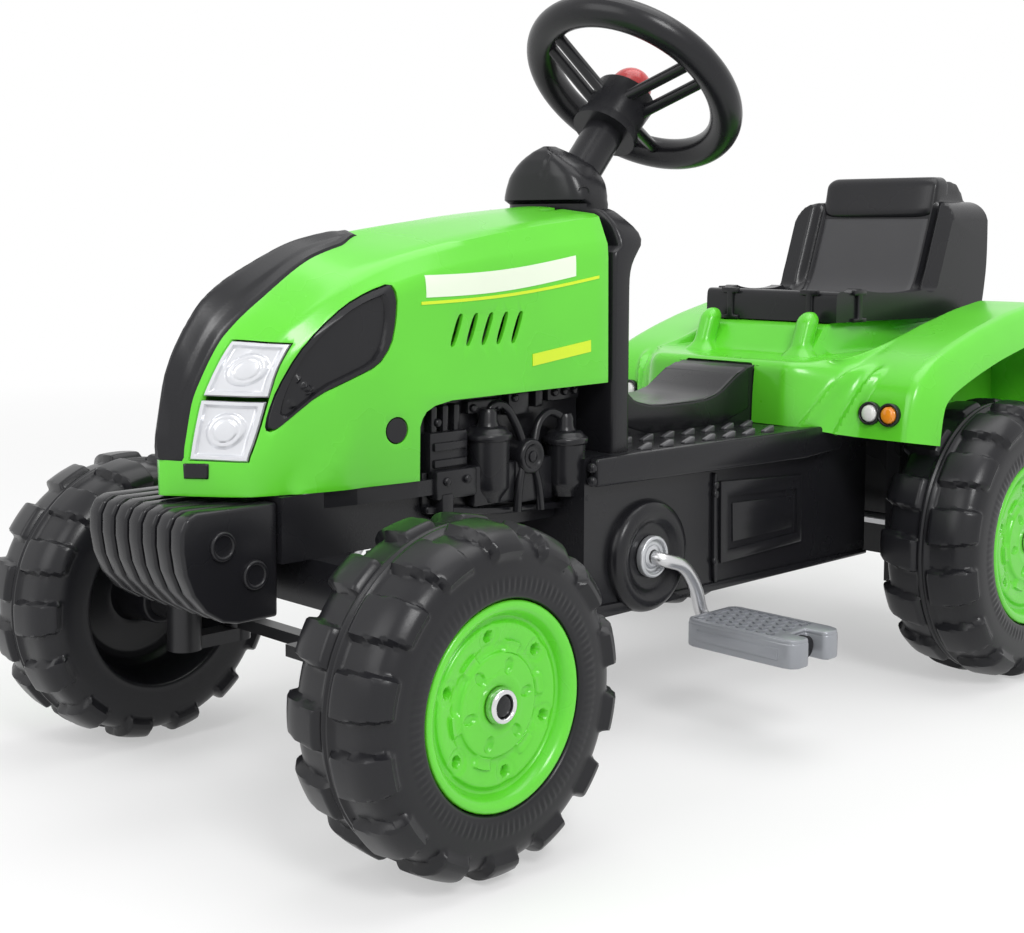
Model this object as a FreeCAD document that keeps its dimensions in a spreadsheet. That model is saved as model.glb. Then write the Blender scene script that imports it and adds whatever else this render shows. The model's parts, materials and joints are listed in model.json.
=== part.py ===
"""Ride-on pedal tractor toy: one macro that draws every piece and writes the step files."""
import FreeCAD, Part
import math
import os
from FreeCAD import Rotation, Vector

os.makedirs("parts", exist_ok=True)
doc = FreeCAD.newDocument("ride_on_tractor")
sheet = doc.addObject("Spreadsheet::Sheet", "Sizes")

SIZES = {
    "front_axle_x": 321,
    "wheelbase": 598,
    "front_tyre_r": 100,
    "rear_tyre_r": 111,
    "tyre_width": 78,
    "wheel_clear": 16,
    "wheel_outer_y": "=housing_half_y + wheel_clear + tyre_width",
    "lug_height": 7,
    "lug_width": 19,
    "lug_slant": 12,
    "lug_count": 14,
    "front_rim_r": 59,
    "rear_rim_r": 66,
    "disc_recess": 16,
    "web_thick": 22,
    "hub_r": 17,
    "axle_r": 5,
    "run_gap": 0.3,
    "fit_gap": 0.3,
    "cap_r": 11,
    "cap_thick": 7,
    "kingpin_inset": 7,
    "kingpin_y": "=housing_half_y - kingpin_inset",
    "kingpin_r": 6,
    "knuckle_r": 12,
    "knuckle_arm": 45,
    "arm_thick": 9,
    "tie_z": 80,
    "tie_thick": 8,
    "tie_pin_r": 4,
    "beam_bottom_z": 130,
    "beam_half_x": 14,
    "nut_height": 11,
    "rail_bottom_z": 160,
    "rail_half_y": 54,
    "deck_z": "=foot_z - 3",
    "deck_thick": 10,
    "deck_half_y": 64,
    "rail_front": 37,
    "rail_rear": 210,
    "tub_front": 200,
    "tub_rear": 555,
    "tub_half_y": 82,
    "tub_bottom_z": 90,
    "foot_z": 203,
    "foot_thick": 12,
    "foot_half_y": 90,
    "foot_rear": 520,
    "shell_wall": 4,
    "tunnel_half_y": 36,
    "tunnel_low_z": 226,
    "tunnel_high_z": 250,
    "housing_rear": 650,
    "housing_half_y": 112,
    "housing_top_z": "=foot_z",
    "weight_front": 106,
    "weight_rear": "=rail_front + fit_gap",
    "weight_half_y": 52,
    "weight_top_z": 197,
    "weight_bottom_z": 128,
    "weight_ribs": 7,
    "hood_front": 87,
    "hood_rear": 231,
    "hood_half_y": 75,
    "hood_bottom_z": "=deck_z + 0.6",
    "hood_rear_top_z": 375,
    "hood_wall": 3,
    "arch_front": 64,
    "arch_corner_z": 247,
    "arch_rear_z": 253,
    "hinge_z": "=hood_rear_top_z - 12",
    "hinge_set": 8,
    "hinge_pin_r": 3,
    "hinge_half_y": 34,
    "strip_half_y": 14,
    "window_gap": 0.3,
    "lamp_bottom_z": 222,
    "lamp_top_z": 293,
    "lamp_outer_y": 42,
    "side_cap_r": 8,
    "wall_front": "=hood_rear + 3",
    "wall_thick": 20,
    "wall_half_y": 77,
    "pod_rear": 272,
    "pod_half_y": 62,
    "hump_half_y": 45,
    "hump_rear": 281,
    "hump_top_z": 418,
    "post_half_y": 45,
    "post_rear": 285,
    "steer_x": 343,
    "steer_z": 468,
    "steer_tilt": 41,
    "steer_ring_r": 77,
    "steer_tube_r": 12,
    "steer_hub_r": 24,
    "spoke_r": 4.5,
    "spoke_turn": 82,
    "spoke_drop": 26,
    "hub_low": 50,
    "hub_top": 12,
    "spoke_gap": 9,
    "shaft_r": 6,
    "crank_drop": 460,
    "steer_crank": 27,
    "steer_pin_r": 5,
    "slot_play": 1.7,
    "sleeve_r": 15,
    "sleeve_end": 88,
    "horn_r": 16,
    "horn_height": 22,
    "horn_travel": 3,
    "engine_half_y": 61,
    "engine_inner_y": 44,
    "crank_x": 265,
    "crank_z": 128,
    "crank_arm": 70,
    "crank_rest": 40,
    "boss_y": 86,
    "boss_r": 33,
    "crank_cap_thick": 4,
    "arm_y": 97,
    "pedal_inner_y": 104,
    "pedal_long": 93,
    "pedal_wide": 58,
    "pedal_thick": 20,
    "chain_y": -42,
    "chain_r": 32,
    "chain_height": 8,
    "chain_plate": 1.5,
    "chain_gap": 4.4,
    "teeth": 16,
    "body_front": 450,
    "body_rear": 735,
    "body_half_y": 92,
    "body_bottom_z": "=foot_z + fit_gap",
    "body_top_z": 281,
    "body_wall": 4,
    "notch_half_y": 38,
    "notch_z": 251.5,
    "ledge_z": "=notch_z + 6",
    "core_half_y": 60,
    "slope_long": 66,
    "fender_outer_y": 168,
    "skirt_band": 26,
    "fender_top_z": 300,
    "fender_front": 486,
    "arch_r": 140,
    "post_x": 512,
    "post_y": 49,
    "post_top_z": 290,
    "post_r": 9,
    "seat_front": 524,
    "seat_back": 748,
    "seat_half_y": "=body_half_y - 10",
    "seat_thick": 6,
    "seat_lip_z": 306,
    "seat_top_z": 402,
    "lamp_y": 120,
    "lamp_z": 216,
    "lamp_r": 7,
    "hitch_bore_r": 6,
    "hitch_thick": 6,
    "hitch_half_y": 24,
    "bolt_r": 4,
}


class Size:
    """A number that keeps the sheet expression it was made from."""

    def __init__(self, value, text):
        self.value = float(value)
        self.text = text

    def __add__(self, other):
        other = as_size(other)
        return Size(self.value + other.value, "(%s + %s)" % (self.text, other.text))

    def __sub__(self, other):
        other = as_size(other)
        return Size(self.value - other.value, "(%s - %s)" % (self.text, other.text))

    def __mul__(self, other):
        other = as_size(other)
        return Size(self.value * other.value, "(%s * %s)" % (self.text, other.text))

    def __truediv__(self, other):
        other = as_size(other)
        return Size(self.value / other.value, "(%s / %s)" % (self.text, other.text))

    def __neg__(self):
        return Size(-self.value, "(0 - %s)" % self.text)

    def __radd__(self, other):
        return as_size(other) + self

    def __rsub__(self, other):
        return as_size(other) - self

    def __rmul__(self, other):
        return as_size(other) * self

    def __float__(self):
        return self.value


def as_size(value):
    if isinstance(value, Size):
        return value
    return Size(value, "(%r)" % float(value))


row = 1
for name in SIZES:
    sheet.set("A%d" % row, name)
    sheet.set("B%d" % row, str(SIZES[name]))
    sheet.setAlias("B%d" % row, name)
    row += 1
doc.recompute()
D = {}
for name in SIZES:
    D[name] = Size(float(sheet.get(name)), "Sizes." + name)


def num(name):
    return D[name].value


NODES = []
FRONT = D["front_axle_x"]
REAR = D["front_axle_x"] - D["wheelbase"]


def ahead(value):
    """Place along X, counted forwards from the front axle."""
    return FRONT + value


def behind(value):
    """Place along X, counted backwards from the front axle."""
    return FRONT - value


def node(item, label):
    item.Label = label
    NODES.append(item)
    return item


def bind(item, prop, value):
    item.setExpression(prop, as_size(value).text)


def place(item, x, y, z):
    bind(item, "Placement.Base.x", x)
    bind(item, "Placement.Base.y", y)
    bind(item, "Placement.Base.z", z)


def block(name, x0, x1, y0, y1, z0, z1):
    item = doc.addObject("Part::Box", name)
    bind(item, "Length", as_size(x1) - x0)
    bind(item, "Width", as_size(y1) - y0)
    bind(item, "Height", as_size(z1) - z0)
    place(item, as_size(x0), as_size(y0), as_size(z0))
    return item


TURNS = {
    "x": Rotation(Vector(0, 1, 0), 90),
    "y": Rotation(Vector(1, 0, 0), -90),
    "z": Rotation(),
}


def rod(name, radius, length, x, y, z, axis):
    item = doc.addObject("Part::Cylinder", name)
    bind(item, "Radius", radius)
    bind(item, "Height", length)
    item.Placement.Rotation = TURNS[axis]
    place(item, as_size(x), as_size(y), as_size(z))
    return item


TILT = math.radians(num("steer_tilt"))
TILT_SIN = math.sin(TILT)
TILT_COS = math.cos(TILT)


def column_rod(name, radius, length, drop):
    """A round piece on the steering axis whose lower end is drop below the wheel centre."""
    item = doc.addObject("Part::Cylinder", name)
    bind(item, "Radius", radius)
    bind(item, "Height", length)
    item.Placement.Rotation = Rotation(Vector(0, 1, 0), -num("steer_tilt"))
    place(item, behind(D["steer_x"]) + as_size(drop) * TILT_SIN, as_size(0),
          D["steer_z"] - as_size(drop) * TILT_COS)
    return item


def fuse(name, items):
    item = doc.addObject("Part::MultiFuse", name)
    item.Shapes = items
    item.Refine = True
    return item


def cut(name, base, tools):
    tool = tools[0] if len(tools) == 1 else fuse(name + "_tools", tools)
    item = doc.addObject("Part::Cut", name)
    item.Base = base
    item.Tool = tool
    item.Refine = True
    return item


def group(name, items):
    item = doc.addObject("Part::Compound", name)
    item.Links = items
    return item


def feature(name, shape):
    item = doc.addObject("Part::Feature", name)
    item.Shape = shape
    return item


def mirrored(name, source):
    item = doc.addObject("Part::Mirroring", name)
    item.Source = source
    item.Normal = Vector(0, 1, 0)
    item.Base = Vector(0, 0, 0)
    return item


def prism(points, start, end, plane):
    """Solid from a closed outline; plane xz is drawn along Y, xy along Z, yz along X."""
    if plane == "xz":
        corners = [Vector(a, start, b) for a, b in points]
        way = Vector(0, end - start, 0)
    elif plane == "xy":
        corners = [Vector(a, b, start) for a, b in points]
        way = Vector(0, 0, end - start)
    else:
        corners = [Vector(start, a, b) for a, b in points]
        way = Vector(end - start, 0, 0)
    return Part.Face(Part.makePolygon(corners + [corners[0]])).extrude(way)


def spline(points):
    curve = Part.BSplineCurve()
    curve.interpolate(points)
    return curve.toShape()


# wheels

def wheel_solid(tyre_r, rim_r, bore_r, wide):
    """Black moulded wheel about the Y axis, outer face at y 0, inner face at y minus the width."""
    base_r = tyre_r - num("lug_height")
    recess = num("disc_recess")
    web = recess + num("web_thick")
    shoulder = wide * 0.16
    def at(radius, depth):
        return Vector(radius, -depth, 0)
    edges = [
        Part.makeLine(at(bore_r, recess), at(rim_r, recess)),
        Part.makeLine(at(rim_r, recess), at(rim_r, 2)),
        Part.makeLine(at(rim_r, 2), at(rim_r + 4, 0)),
        Part.makeLine(at(rim_r + 4, 0), at(base_r - shoulder, 2)),
        Part.Arc(at(base_r - shoulder, 2), at(base_r - shoulder * 0.25, shoulder * 0.35),
                 at(base_r, shoulder)).toShape(),
        Part.makeLine(at(base_r, shoulder), at(base_r, wide - shoulder)),
        Part.Arc(at(base_r, wide - shoulder), at(base_r - shoulder * 0.25, wide - shoulder * 0.35),
                 at(base_r - shoulder, wide - 2)).toShape(),
        Part.makeLine(at(base_r - shoulder, wide - 2), at(rim_r, wide)),
        Part.makeLine(at(rim_r, wide), at(rim_r - 6, web)),
        Part.makeLine(at(rim_r - 6, web), at(num("hub_r"), web)),
        Part.makeLine(at(num("hub_r"), web), at(num("hub_r"), wide - 2)),
        Part.makeLine(at(num("hub_r"), wide - 2), at(bore_r, wide - 2)),
        Part.makeLine(at(bore_r, wide - 2), at(bore_r, recess)),
    ]
    body = Part.Face(Part.Wire(edges)).revolve(Vector(0, 0, 0), Vector(0, 1, 0), 360)
    half = num("lug_width") / 2
    slant = num("lug_slant")
    root = base_r - 8
    crest = math.sqrt(tyre_r ** 2 - (half + slant / 2) ** 2)
    count = int(num("lug_count"))
    lugs = []
    for side in (0, 1):
        outer = 5 if side == 0 else wide - 5
        inner = wide / 2 - 2 if side == 0 else wide / 2 + 2
        corners = [
            Vector(root, -inner, -half - slant / 2),
            Vector(root, -inner, half - slant / 2),
            Vector(root, -outer, half + slant / 2),
            Vector(root, -outer, -half + slant / 2),
        ]
        face = Part.Face(Part.makePolygon(corners + [corners[0]]))
        lug = face.extrude(Vector(crest - root, 0, 0))
        for step in range(count):
            turned = lug.copy()
            turned.rotate(Vector(0, 0, 0), Vector(0, 1, 0), 360.0 * (step + 0.5 * side) / count)
            lugs.append(turned)
    return body.multiFuse(lugs).removeSplitter()


def disc_solid(rim_r, bore_r):
    """Green wheel disc with stepped rings, a raised hub, lug bumps and six holes."""
    gap = num("fit_gap")
    back = num("disc_recess")
    edge = rim_r - gap
    def at(radius, depth):
        return Vector(radius, -depth, 0)
    points = [
        at(bore_r, back), at(edge, back), at(edge, 2), at(edge - 5, 1), at(edge - 8, 4), at(edge - 20, 9),
        at(edge - 26, 10), at(edge - 28, 6), at(num("cap_r") + 9, 5), at(num("cap_r") + 4, 8),
        at(bore_r, 8),
    ]
    disc = Part.Face(Part.makePolygon(points + [points[0]])).revolve(Vector(0, 0, 0), Vector(0, 1, 0), 360)
    bumps = []
    holes = []
    for step in range(6):
        angle = math.radians(60 * step + 30)
        ring = num("cap_r") + 13
        bumps.append(Part.makeCylinder(3, 6, Vector(ring * math.cos(angle), -8, ring * math.sin(angle)),
                                       Vector(0, 1, 0)))
        ring = edge - 14
        angle = math.radians(60 * step)
        holes.append(Part.makeCylinder(3, back + 2, Vector(ring * math.cos(angle), -back - 1,
                                                           ring * math.sin(angle)),
                                       Vector(0, 1, 0)))
    return disc.multiFuse(bumps).cut(Part.makeCompound(holes))


def cap_solid(bore_r):
    """Push cap that covers the axle end; blind, so the axle ends inside it."""
    thick = num("cap_thick")
    body = Part.makeCylinder(num("cap_r"), thick, Vector(0, -8 + num("fit_gap"), 0), Vector(0, 1, 0))
    return body.cut(Part.makeCylinder(bore_r, thick - 2, Vector(0, -8, 0), Vector(0, 1, 0)))


def put(shape, x, y, z, flip):
    moved = shape.copy()
    if flip:
        moved = moved.mirror(Vector(0, 0, 0), Vector(0, 1, 0))
    moved.translate(Vector(x, y, z))
    return moved


bore = num("axle_r") + num("run_gap")
for spot, tyre_name, rim_name, x_size in (
    ("front", "front_tyre_r", "front_rim_r", FRONT),
    ("rear", "rear_tyre_r", "rear_rim_r", REAR),
):
    wheel = wheel_solid(num(tyre_name), num(rim_name), bore, num("tyre_width"))
    disc = disc_solid(num(rim_name), bore)
    cap = cap_solid(num("axle_r"))
    for side in ("left", "right"):
        flip = side == "right"
        out = num("wheel_outer_y") * (-1 if flip else 1)
        tall = num(tyre_name)
        node(feature("wheel_" + spot + side, put(wheel, x_size.value, out, tall, flip)),
             spot + "_" + side + "_wheel")
        node(feature("disc_" + spot + side, put(disc, x_size.value, out, tall, flip)),
             spot + "_" + side + "_disc")
        node(feature("cap_" + spot + side, put(cap, x_size.value, out, tall, flip)),
             spot + "_" + side + "_cap")

AXLE_END = D["wheel_outer_y"] - 8 + D["fit_gap"] + D["cap_thick"] - 2.5

# front axle, knuckles and tie rod
beam_bar = block("beam_bar", ahead(-D["beam_half_x"]), ahead(D["beam_half_x"]), -D["kingpin_y"],
                 D["kingpin_y"],
                 D["beam_bottom_z"], D["rail_bottom_z"])
beam_parts = [beam_bar]
beam_holes = []
for side, sign in (("left", 1), ("right", -1)):
    beam_parts.append(rod("beam_boss_" + side, D["knuckle_r"] + 4, D["rail_bottom_z"] - D["beam_bottom_z"],
                          FRONT,
                          D["kingpin_y"] * sign, D["beam_bottom_z"], "z"))
    beam_holes.append(rod("beam_hole_" + side, D["kingpin_r"] + D["run_gap"], 60, FRONT,
                          D["kingpin_y"] * sign,
                          D["beam_bottom_z"] - 10, "z"))
node(cut("beam_cut", fuse("beam_fuse", beam_parts), beam_holes), "front_axle_beam")

KNUCKLE_LOW = D["tie_z"] - D["arm_thick"] - D["fit_gap"]
for side, sign in (("left", 1), ("right", -1)):
    king = rod("king_" + side, D["kingpin_r"],
               D["rail_bottom_z"] + D["nut_height"] - D["beam_bottom_z"] + 2, FRONT,
               D["kingpin_y"] * sign, D["beam_bottom_z"] - 2, "z")
    body = rod("king_body_" + side, D["knuckle_r"], D["beam_bottom_z"] - D["fit_gap"] - KNUCKLE_LOW, FRONT,
               D["kingpin_y"] * sign, KNUCKLE_LOW, "z")
    hub_face = D["wheel_outer_y"] - D["tyre_width"] + 2 - D["fit_gap"]
    if sign > 0:
        flange = rod("king_flange_" + side, D["knuckle_r"] - 1, hub_face - D["kingpin_y"], FRONT,
                     D["kingpin_y"],
                     D["front_tyre_r"], "y")
        stub = rod("king_stub_" + side, D["axle_r"], AXLE_END - D["kingpin_y"], FRONT, D["kingpin_y"],
                   D["front_tyre_r"], "y")
    else:
        flange = rod("king_flange_" + side, D["knuckle_r"] - 1, hub_face - D["kingpin_y"], FRONT, -hub_face,
                     D["front_tyre_r"], "y")
        stub = rod("king_stub_" + side, D["axle_r"], AXLE_END - D["kingpin_y"], FRONT, -AXLE_END,
                   D["front_tyre_r"], "y")
    arm = block("king_arm_" + side, behind(D["knuckle_arm"]), FRONT, D["kingpin_y"] * sign - 8,
                D["kingpin_y"] * sign + 8, KNUCKLE_LOW, KNUCKLE_LOW + D["arm_thick"])
    eye = rod("king_eye_" + side, 9, D["arm_thick"], behind(D["knuckle_arm"]), D["kingpin_y"] * sign,
              KNUCKLE_LOW, "z")
    pin = rod("king_pin_" + side, D["tie_pin_r"], D["arm_thick"] + D["tie_thick"] + 4,
              behind(D["knuckle_arm"]),
              D["kingpin_y"] * sign, KNUCKLE_LOW, "z")
    node(fuse("knuckle_fuse_" + side, [king, body, flange, stub, arm, eye, pin]), "knuckle_" + side)
    nut = doc.addObject("Part::Prism", "nut_" + side)
    nut.Polygon = 6
    bind(nut, "Circumradius", D["kingpin_r"] + 6)
    bind(nut, "Height", D["nut_height"] - 1)
    place(nut, FRONT, D["kingpin_y"] * sign, D["rail_bottom_z"] + D["fit_gap"])
    nut_hole = rod("nut_hole_" + side, D["kingpin_r"], D["nut_height"] + 4, FRONT, D["kingpin_y"] * sign,
                   D["rail_bottom_z"] - 1, "z")
    node(cut("nut_cut_" + side, nut, [nut_hole]), "kingpin_nut_" + side)

SLOT_X = behind(D["knuckle_arm"])
tie_bar = block("tie_bar", SLOT_X - 6, SLOT_X + 6, -D["kingpin_y"], D["kingpin_y"], D["tie_z"],
                D["tie_z"] + D["tie_thick"])
tie_plate = block("tie_plate", SLOT_X - 21, SLOT_X + 26, -16, 16, D["tie_z"], D["tie_z"] + D["tie_thick"])
tie_parts = [tie_bar, tie_plate]
tie_holes = [block("tie_slot", SLOT_X - 13, SLOT_X + 18, -D["steer_pin_r"] - D["slot_play"],
                   D["steer_pin_r"] + D["slot_play"], D["tie_z"] - 1, D["tie_z"] + D["tie_thick"] + 1)]
for side, sign in (("left", 1), ("right", -1)):
    tie_parts.append(rod("tie_eye_" + side, 10, D["tie_thick"], SLOT_X, D["kingpin_y"] * sign, D["tie_z"],
                         "z"))
    tie_holes.append(rod("tie_hole_" + side, D["tie_pin_r"] + D["run_gap"], D["tie_thick"] + 2, SLOT_X,
                         D["kingpin_y"] * sign, D["tie_z"] - 1, "z"))
node(cut("tie_cut", fuse("tie_fuse", tie_parts), tie_holes), "tie_rod")

# steering column
shaft = column_rod("shaft_bar", D["shaft_r"], D["crank_drop"] - D["hub_top"] - 8.5, D["crank_drop"])
crank_at = Vector(num("front_axle_x") - num("steer_x") + num("crank_drop") * TILT_SIN, 0,
                  num("steer_z") - num("crank_drop") * TILT_COS)
along_w = Vector(TILT_COS, 0, TILT_SIN)
along_u = Vector(-TILT_SIN, 0, TILT_COS)
pin_at = crank_at - along_w * num("steer_crank")
throw = Part.makeCylinder(num("shaft_r"), num("steer_crank"), crank_at, along_w * -1)
ends = [Part.makeSphere(num("shaft_r"), crank_at), Part.makeSphere(num("shaft_r"), pin_at)]
pin_long = (pin_at.z - num("tie_z") + 5) / TILT_COS
steer_pin = Part.makeCylinder(num("steer_pin_r"), pin_long, pin_at, along_u * -1)
shaft_throw = feature("shaft_throw", throw.multiFuse(ends + [steer_pin]))
node(fuse("shaft_fuse", [shaft, shaft_throw]), "steering_shaft")

sleeve = column_rod("sleeve_tube", D["sleeve_r"], D["sleeve_end"] - D["hub_low"], D["sleeve_end"])
node(cut("sleeve_cut", sleeve, [column_rod("sleeve_bore", D["shaft_r"], D["sleeve_end"] + 20,
                                           D["sleeve_end"] + 5)]),
     "column_sleeve")

hub_at = Vector(num("front_axle_x") - num("steer_x"), 0, num("steer_z"))
ring = Part.makeTorus(num("steer_ring_r"), num("steer_tube_r"), hub_at, along_u)
hub_base = hub_at - along_u * num("hub_low")
hub_long = num("hub_low") - num("hub_top")
hub = Part.makeCone(num("steer_hub_r") - 3, num("steer_hub_r"), hub_long, hub_base, along_u)
collar = Part.makeCylinder(num("steer_hub_r") + 1, 7, hub_base, along_u)
spokes = []
for step in range(3):
    turn = math.radians(num("spoke_turn") + 120 * step)
    out = along_w * math.cos(turn) + Vector(0, math.sin(turn), 0)
    across = along_u.cross(out)
    for offset in (-1, 1):
        start = hub_at + out * 12 + across * (offset * num("spoke_gap")) - along_u * num("spoke_drop")
        end = hub_at + out * (num("steer_ring_r") - 2) + across * (offset * num("spoke_gap"))
        spokes.append(Part.makeCylinder(num("spoke_r"), (end - start).Length, start, end - start))
wheel_hole = Part.makeCylinder(num("shaft_r"), hub_long - 8, hub_base, along_u)
horn_floor = hub_at - along_u * (num("hub_top") + 6)
horn_hole = Part.makeCylinder(num("horn_r") + num("run_gap") + 0.1, 40, horn_floor, along_u)
wheel_shape = ring.multiFuse([hub, collar] + spokes).cut(Part.makeCompound([wheel_hole, horn_hole]))
node(feature("steering_wheel_solid", wheel_shape), "steering_wheel")

horn_low = horn_floor + along_u * (num("horn_travel") + 0.4)
horn_body = Part.makeCylinder(num("horn_r"), num("horn_height") * 0.5, horn_low, along_u)
dome_at = horn_low + along_u * (num("horn_height") * 0.5)
dome = Part.makeSphere(num("horn_r"), dome_at)
dome = dome.common(Part.makeCylinder(num("horn_r") + 2, num("horn_height"), dome_at, along_u))
node(feature("horn_solid", horn_body.fuse(dome)), "horn_button")

# hood: place along it, then half widths and heights from the lower edge up
HOOD_STATIONS = [
    (-231, [(75, 200.6), (75.5, 250), (74.5, 347), (65, 369), (16, 374.5), (0, 375)]),
    (-150, [(70, 200.6), (70.5, 250), (69, 340), (59, 359), (16, 367), (0, 368)]),
    (-63, [(65, 200.6), (65.5, 250), (63.5, 326), (52, 343), (15, 353), (0, 358)]),
    (-20, [(60.5, 200.6), (60.5, 250), (59, 311), (47, 327), (15, 342), (0, 351)]),
    (20, [(52.5, 200.6), (52, 250), (50, 286), (42, 302), (15, 318), (0, 336)]),
    (50, [(43.5, 200.6), (43, 222), (36, 258), (27, 277), (15, 295), (0, 319)]),
    (70, [(23.5, 200.6), (23, 222), (19, 243), (16.5, 254), (14, 262), (0, 295)]),
    (80, [(10.5, 200.6), (12, 222), (12, 228), (11, 233), (10, 239), (0, 274)]),
    (87, [(1.6, 200.6), (2, 222), (2, 226), (1.8, 229), (1.5, 232), (0, 237)]),
]


def between(place, column):
    """Smooth value of one station column at a place along the hood, with no overshoot."""
    xs = [row[0] for row in HOOD_STATIONS]
    vs = [row[1][column[0]][column[1]] for row in HOOD_STATIONS]
    slopes = []
    count = len(xs)
    for index in range(count):
        if index in (0, count - 1):
            near = 1 if index == 0 else count - 2
            slopes.append((vs[near] - vs[index]) / float(xs[near] - xs[index]))
            continue
        before = (vs[index] - vs[index - 1]) / float(xs[index] - xs[index - 1])
        after = (vs[index + 1] - vs[index]) / float(xs[index + 1] - xs[index])
        slopes.append(2 * before * after / (before + after) if before * after > 0 else 0.0)
    index = 0
    while index < count - 2 and place > xs[index + 1]:
        index += 1
    span = float(xs[index + 1] - xs[index])
    t = (place - xs[index]) / span
    return (vs[index] * (2 * t ** 3 - 3 * t ** 2 + 1) + slopes[index] * span * (t ** 3 - 2 * t ** 2 + t)
            + vs[index + 1] * (3 * t ** 2 - 2 * t ** 3) + slopes[index + 1] * span * (t ** 3 - t ** 2))


HOOD_CUTS = [-231, -190, -150, -105, -63, -40, -20, 0, 20, 35, 50, 60, 70, 75, 80, 84, 87]


def hood_block(inset, rear_extra, low_extra):
    """Outer form of the hood, or its inside when inset is the wall."""
    front_x = num("front_axle_x")
    wires = []
    tall = (num("hood_rear_top_z") - num("hood_bottom_z")) / 174.4
    for index, place in enumerate(HOOD_CUTS):
        half = [(between(place, (step, 0)), between(place, (step, 1))) for step in range(6)]
        if place > 0:
            x = front_x + place * num("hood_front") / 87.0 - inset * (1.6 if place > 40 else 0.6)
        else:
            x = front_x + place * num("hood_rear") / 231.0 - (rear_extra if index == 0 else 0)
        side = []
        for step, (y, z) in enumerate(half):
            wide = y * num("hood_half_y") / 75.0
            high = num("hood_bottom_z") + (z - 200.6) * tall
            if inset:
                wide = wide - inset if wide > 2.4 * inset else wide * 0.5
                high = high - inset if step > 2 else high
            if step == 0:
                high = num("hood_bottom_z") - low_extra
            side.append((wide, high))
        left = [Vector(x, y, z) for y, z in side]
        right = [Vector(x, -y, z) for y, z in reversed(side[:-1])]
        corners = left + right
        wires.append(Part.makePolygon(corners + [corners[0]]))
    return Part.makeLoft(wires, True, True)


outer_form = hood_block(0, 0, 0)
inner_form = hood_block(num("hood_wall"), 10, 10)
shell = outer_form.cut(inner_form)
fx = num("front_axle_x")
arch = prism([
    (fx - num("arch_front"), num("hood_bottom_z") - 5),
    (fx - num("arch_front"), num("arch_corner_z") - 12),
    (fx - num("arch_front") - 4, num("arch_corner_z") - 4),
    (fx - num("arch_front") - 12, num("arch_corner_z")),
    (fx - num("arch_front") - 26, num("arch_corner_z") + 3),
    (fx - num("hood_rear") - 5, num("arch_rear_z")),
    (fx - num("hood_rear") - 5, num("hood_bottom_z") - 5),
], -200, 200, "xz")
shell = shell.cut(arch)

WINDOW = [(-45, 326), (-48, 318), (-47, 303), (-43, 287), (-33, 275), (-12, 267), (9, 259), (26, 247),
          (38, 238), (42, 240),
          (40, 249), (34, 264), (22, 284), (7, 299), (-12, 313), (-29, 321)]


def window(gap):
    middle_x = sum(p[0] for p in WINDOW) / len(WINDOW)
    middle_z = sum(p[1] for p in WINDOW) / len(WINDOW)
    outline = []
    for x, z in WINDOW:
        far = math.hypot(x - middle_x, z - middle_z)
        part = 1 - gap / far * 1.6
        outline.append((fx + middle_x + (x - middle_x) * part, middle_z + (z - middle_z) * part))
    return prism(outline, 30, 120, "xz")


def strip(gap):
    half = num("strip_half_y") - gap
    return Part.makeBox(240, 2 * half, 210, Vector(fx - 60 + gap, -half, num("lamp_bottom_z") - 4 + gap))


def lamp(gap):
    inner = num("strip_half_y") + 1.5 + gap
    outline = [(inner, num("lamp_bottom_z") + gap), (num("lamp_outer_y") - gap, num("lamp_bottom_z") + gap),
               (num("lamp_outer_y") + 2 - gap, num("lamp_bottom_z") + 37),
               (num("lamp_outer_y") + 4 - gap, num("lamp_top_z") - 2 - gap),
               (inner + 3, num("lamp_top_z") - gap), (inner + 1, num("lamp_bottom_z") + 37)]
    return prism(outline, fx + 10, fx + 120, "yz")


gap = num("window_gap")
side_cap_at = Vector(fx - 46, 0, 234)
tools = []
pieces = {}
skin = outer_form.cut(inner_form)
for side, sign in (("left", 1), ("right", -1)):
    for title, maker in (("side_intake", window), ("headlight", lamp)):
        tool = maker(0)
        piece = skin.common(maker(gap))
        if title == "side_intake":
            piece = piece.cut(lamp(-2))
        if sign < 0:
            tool = tool.mirror(Vector(0, 0, 0), Vector(0, 1, 0))
            piece = piece.mirror(Vector(0, 0, 0), Vector(0, 1, 0))
        tools.append(tool)
        pieces[title + "_" + side] = piece
tools.append(strip(0))
pieces["grille_strip"] = skin.common(strip(gap))
cap_bits = []
for sign in (1, -1):
    spot = Vector(side_cap_at.x, 40 * sign, side_cap_at.z)
    tools.append(Part.makeCylinder(num("side_cap_r"), 60, spot, Vector(0, sign, 0)))
    cap_bits.append(skin.common(Part.makeCylinder(num("side_cap_r") - gap, 60, spot, Vector(0, sign, 0))))
for step in range(5):
    x = fx - 93 - 13 * step
    slot = prism([(x, 284), (x + 5, 284), (x - 3, 305), (x - 8, 305)], -200, 200, "xz")
    tools.append(slot)
for tool in tools:
    shell = shell.cut(tool)
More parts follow.
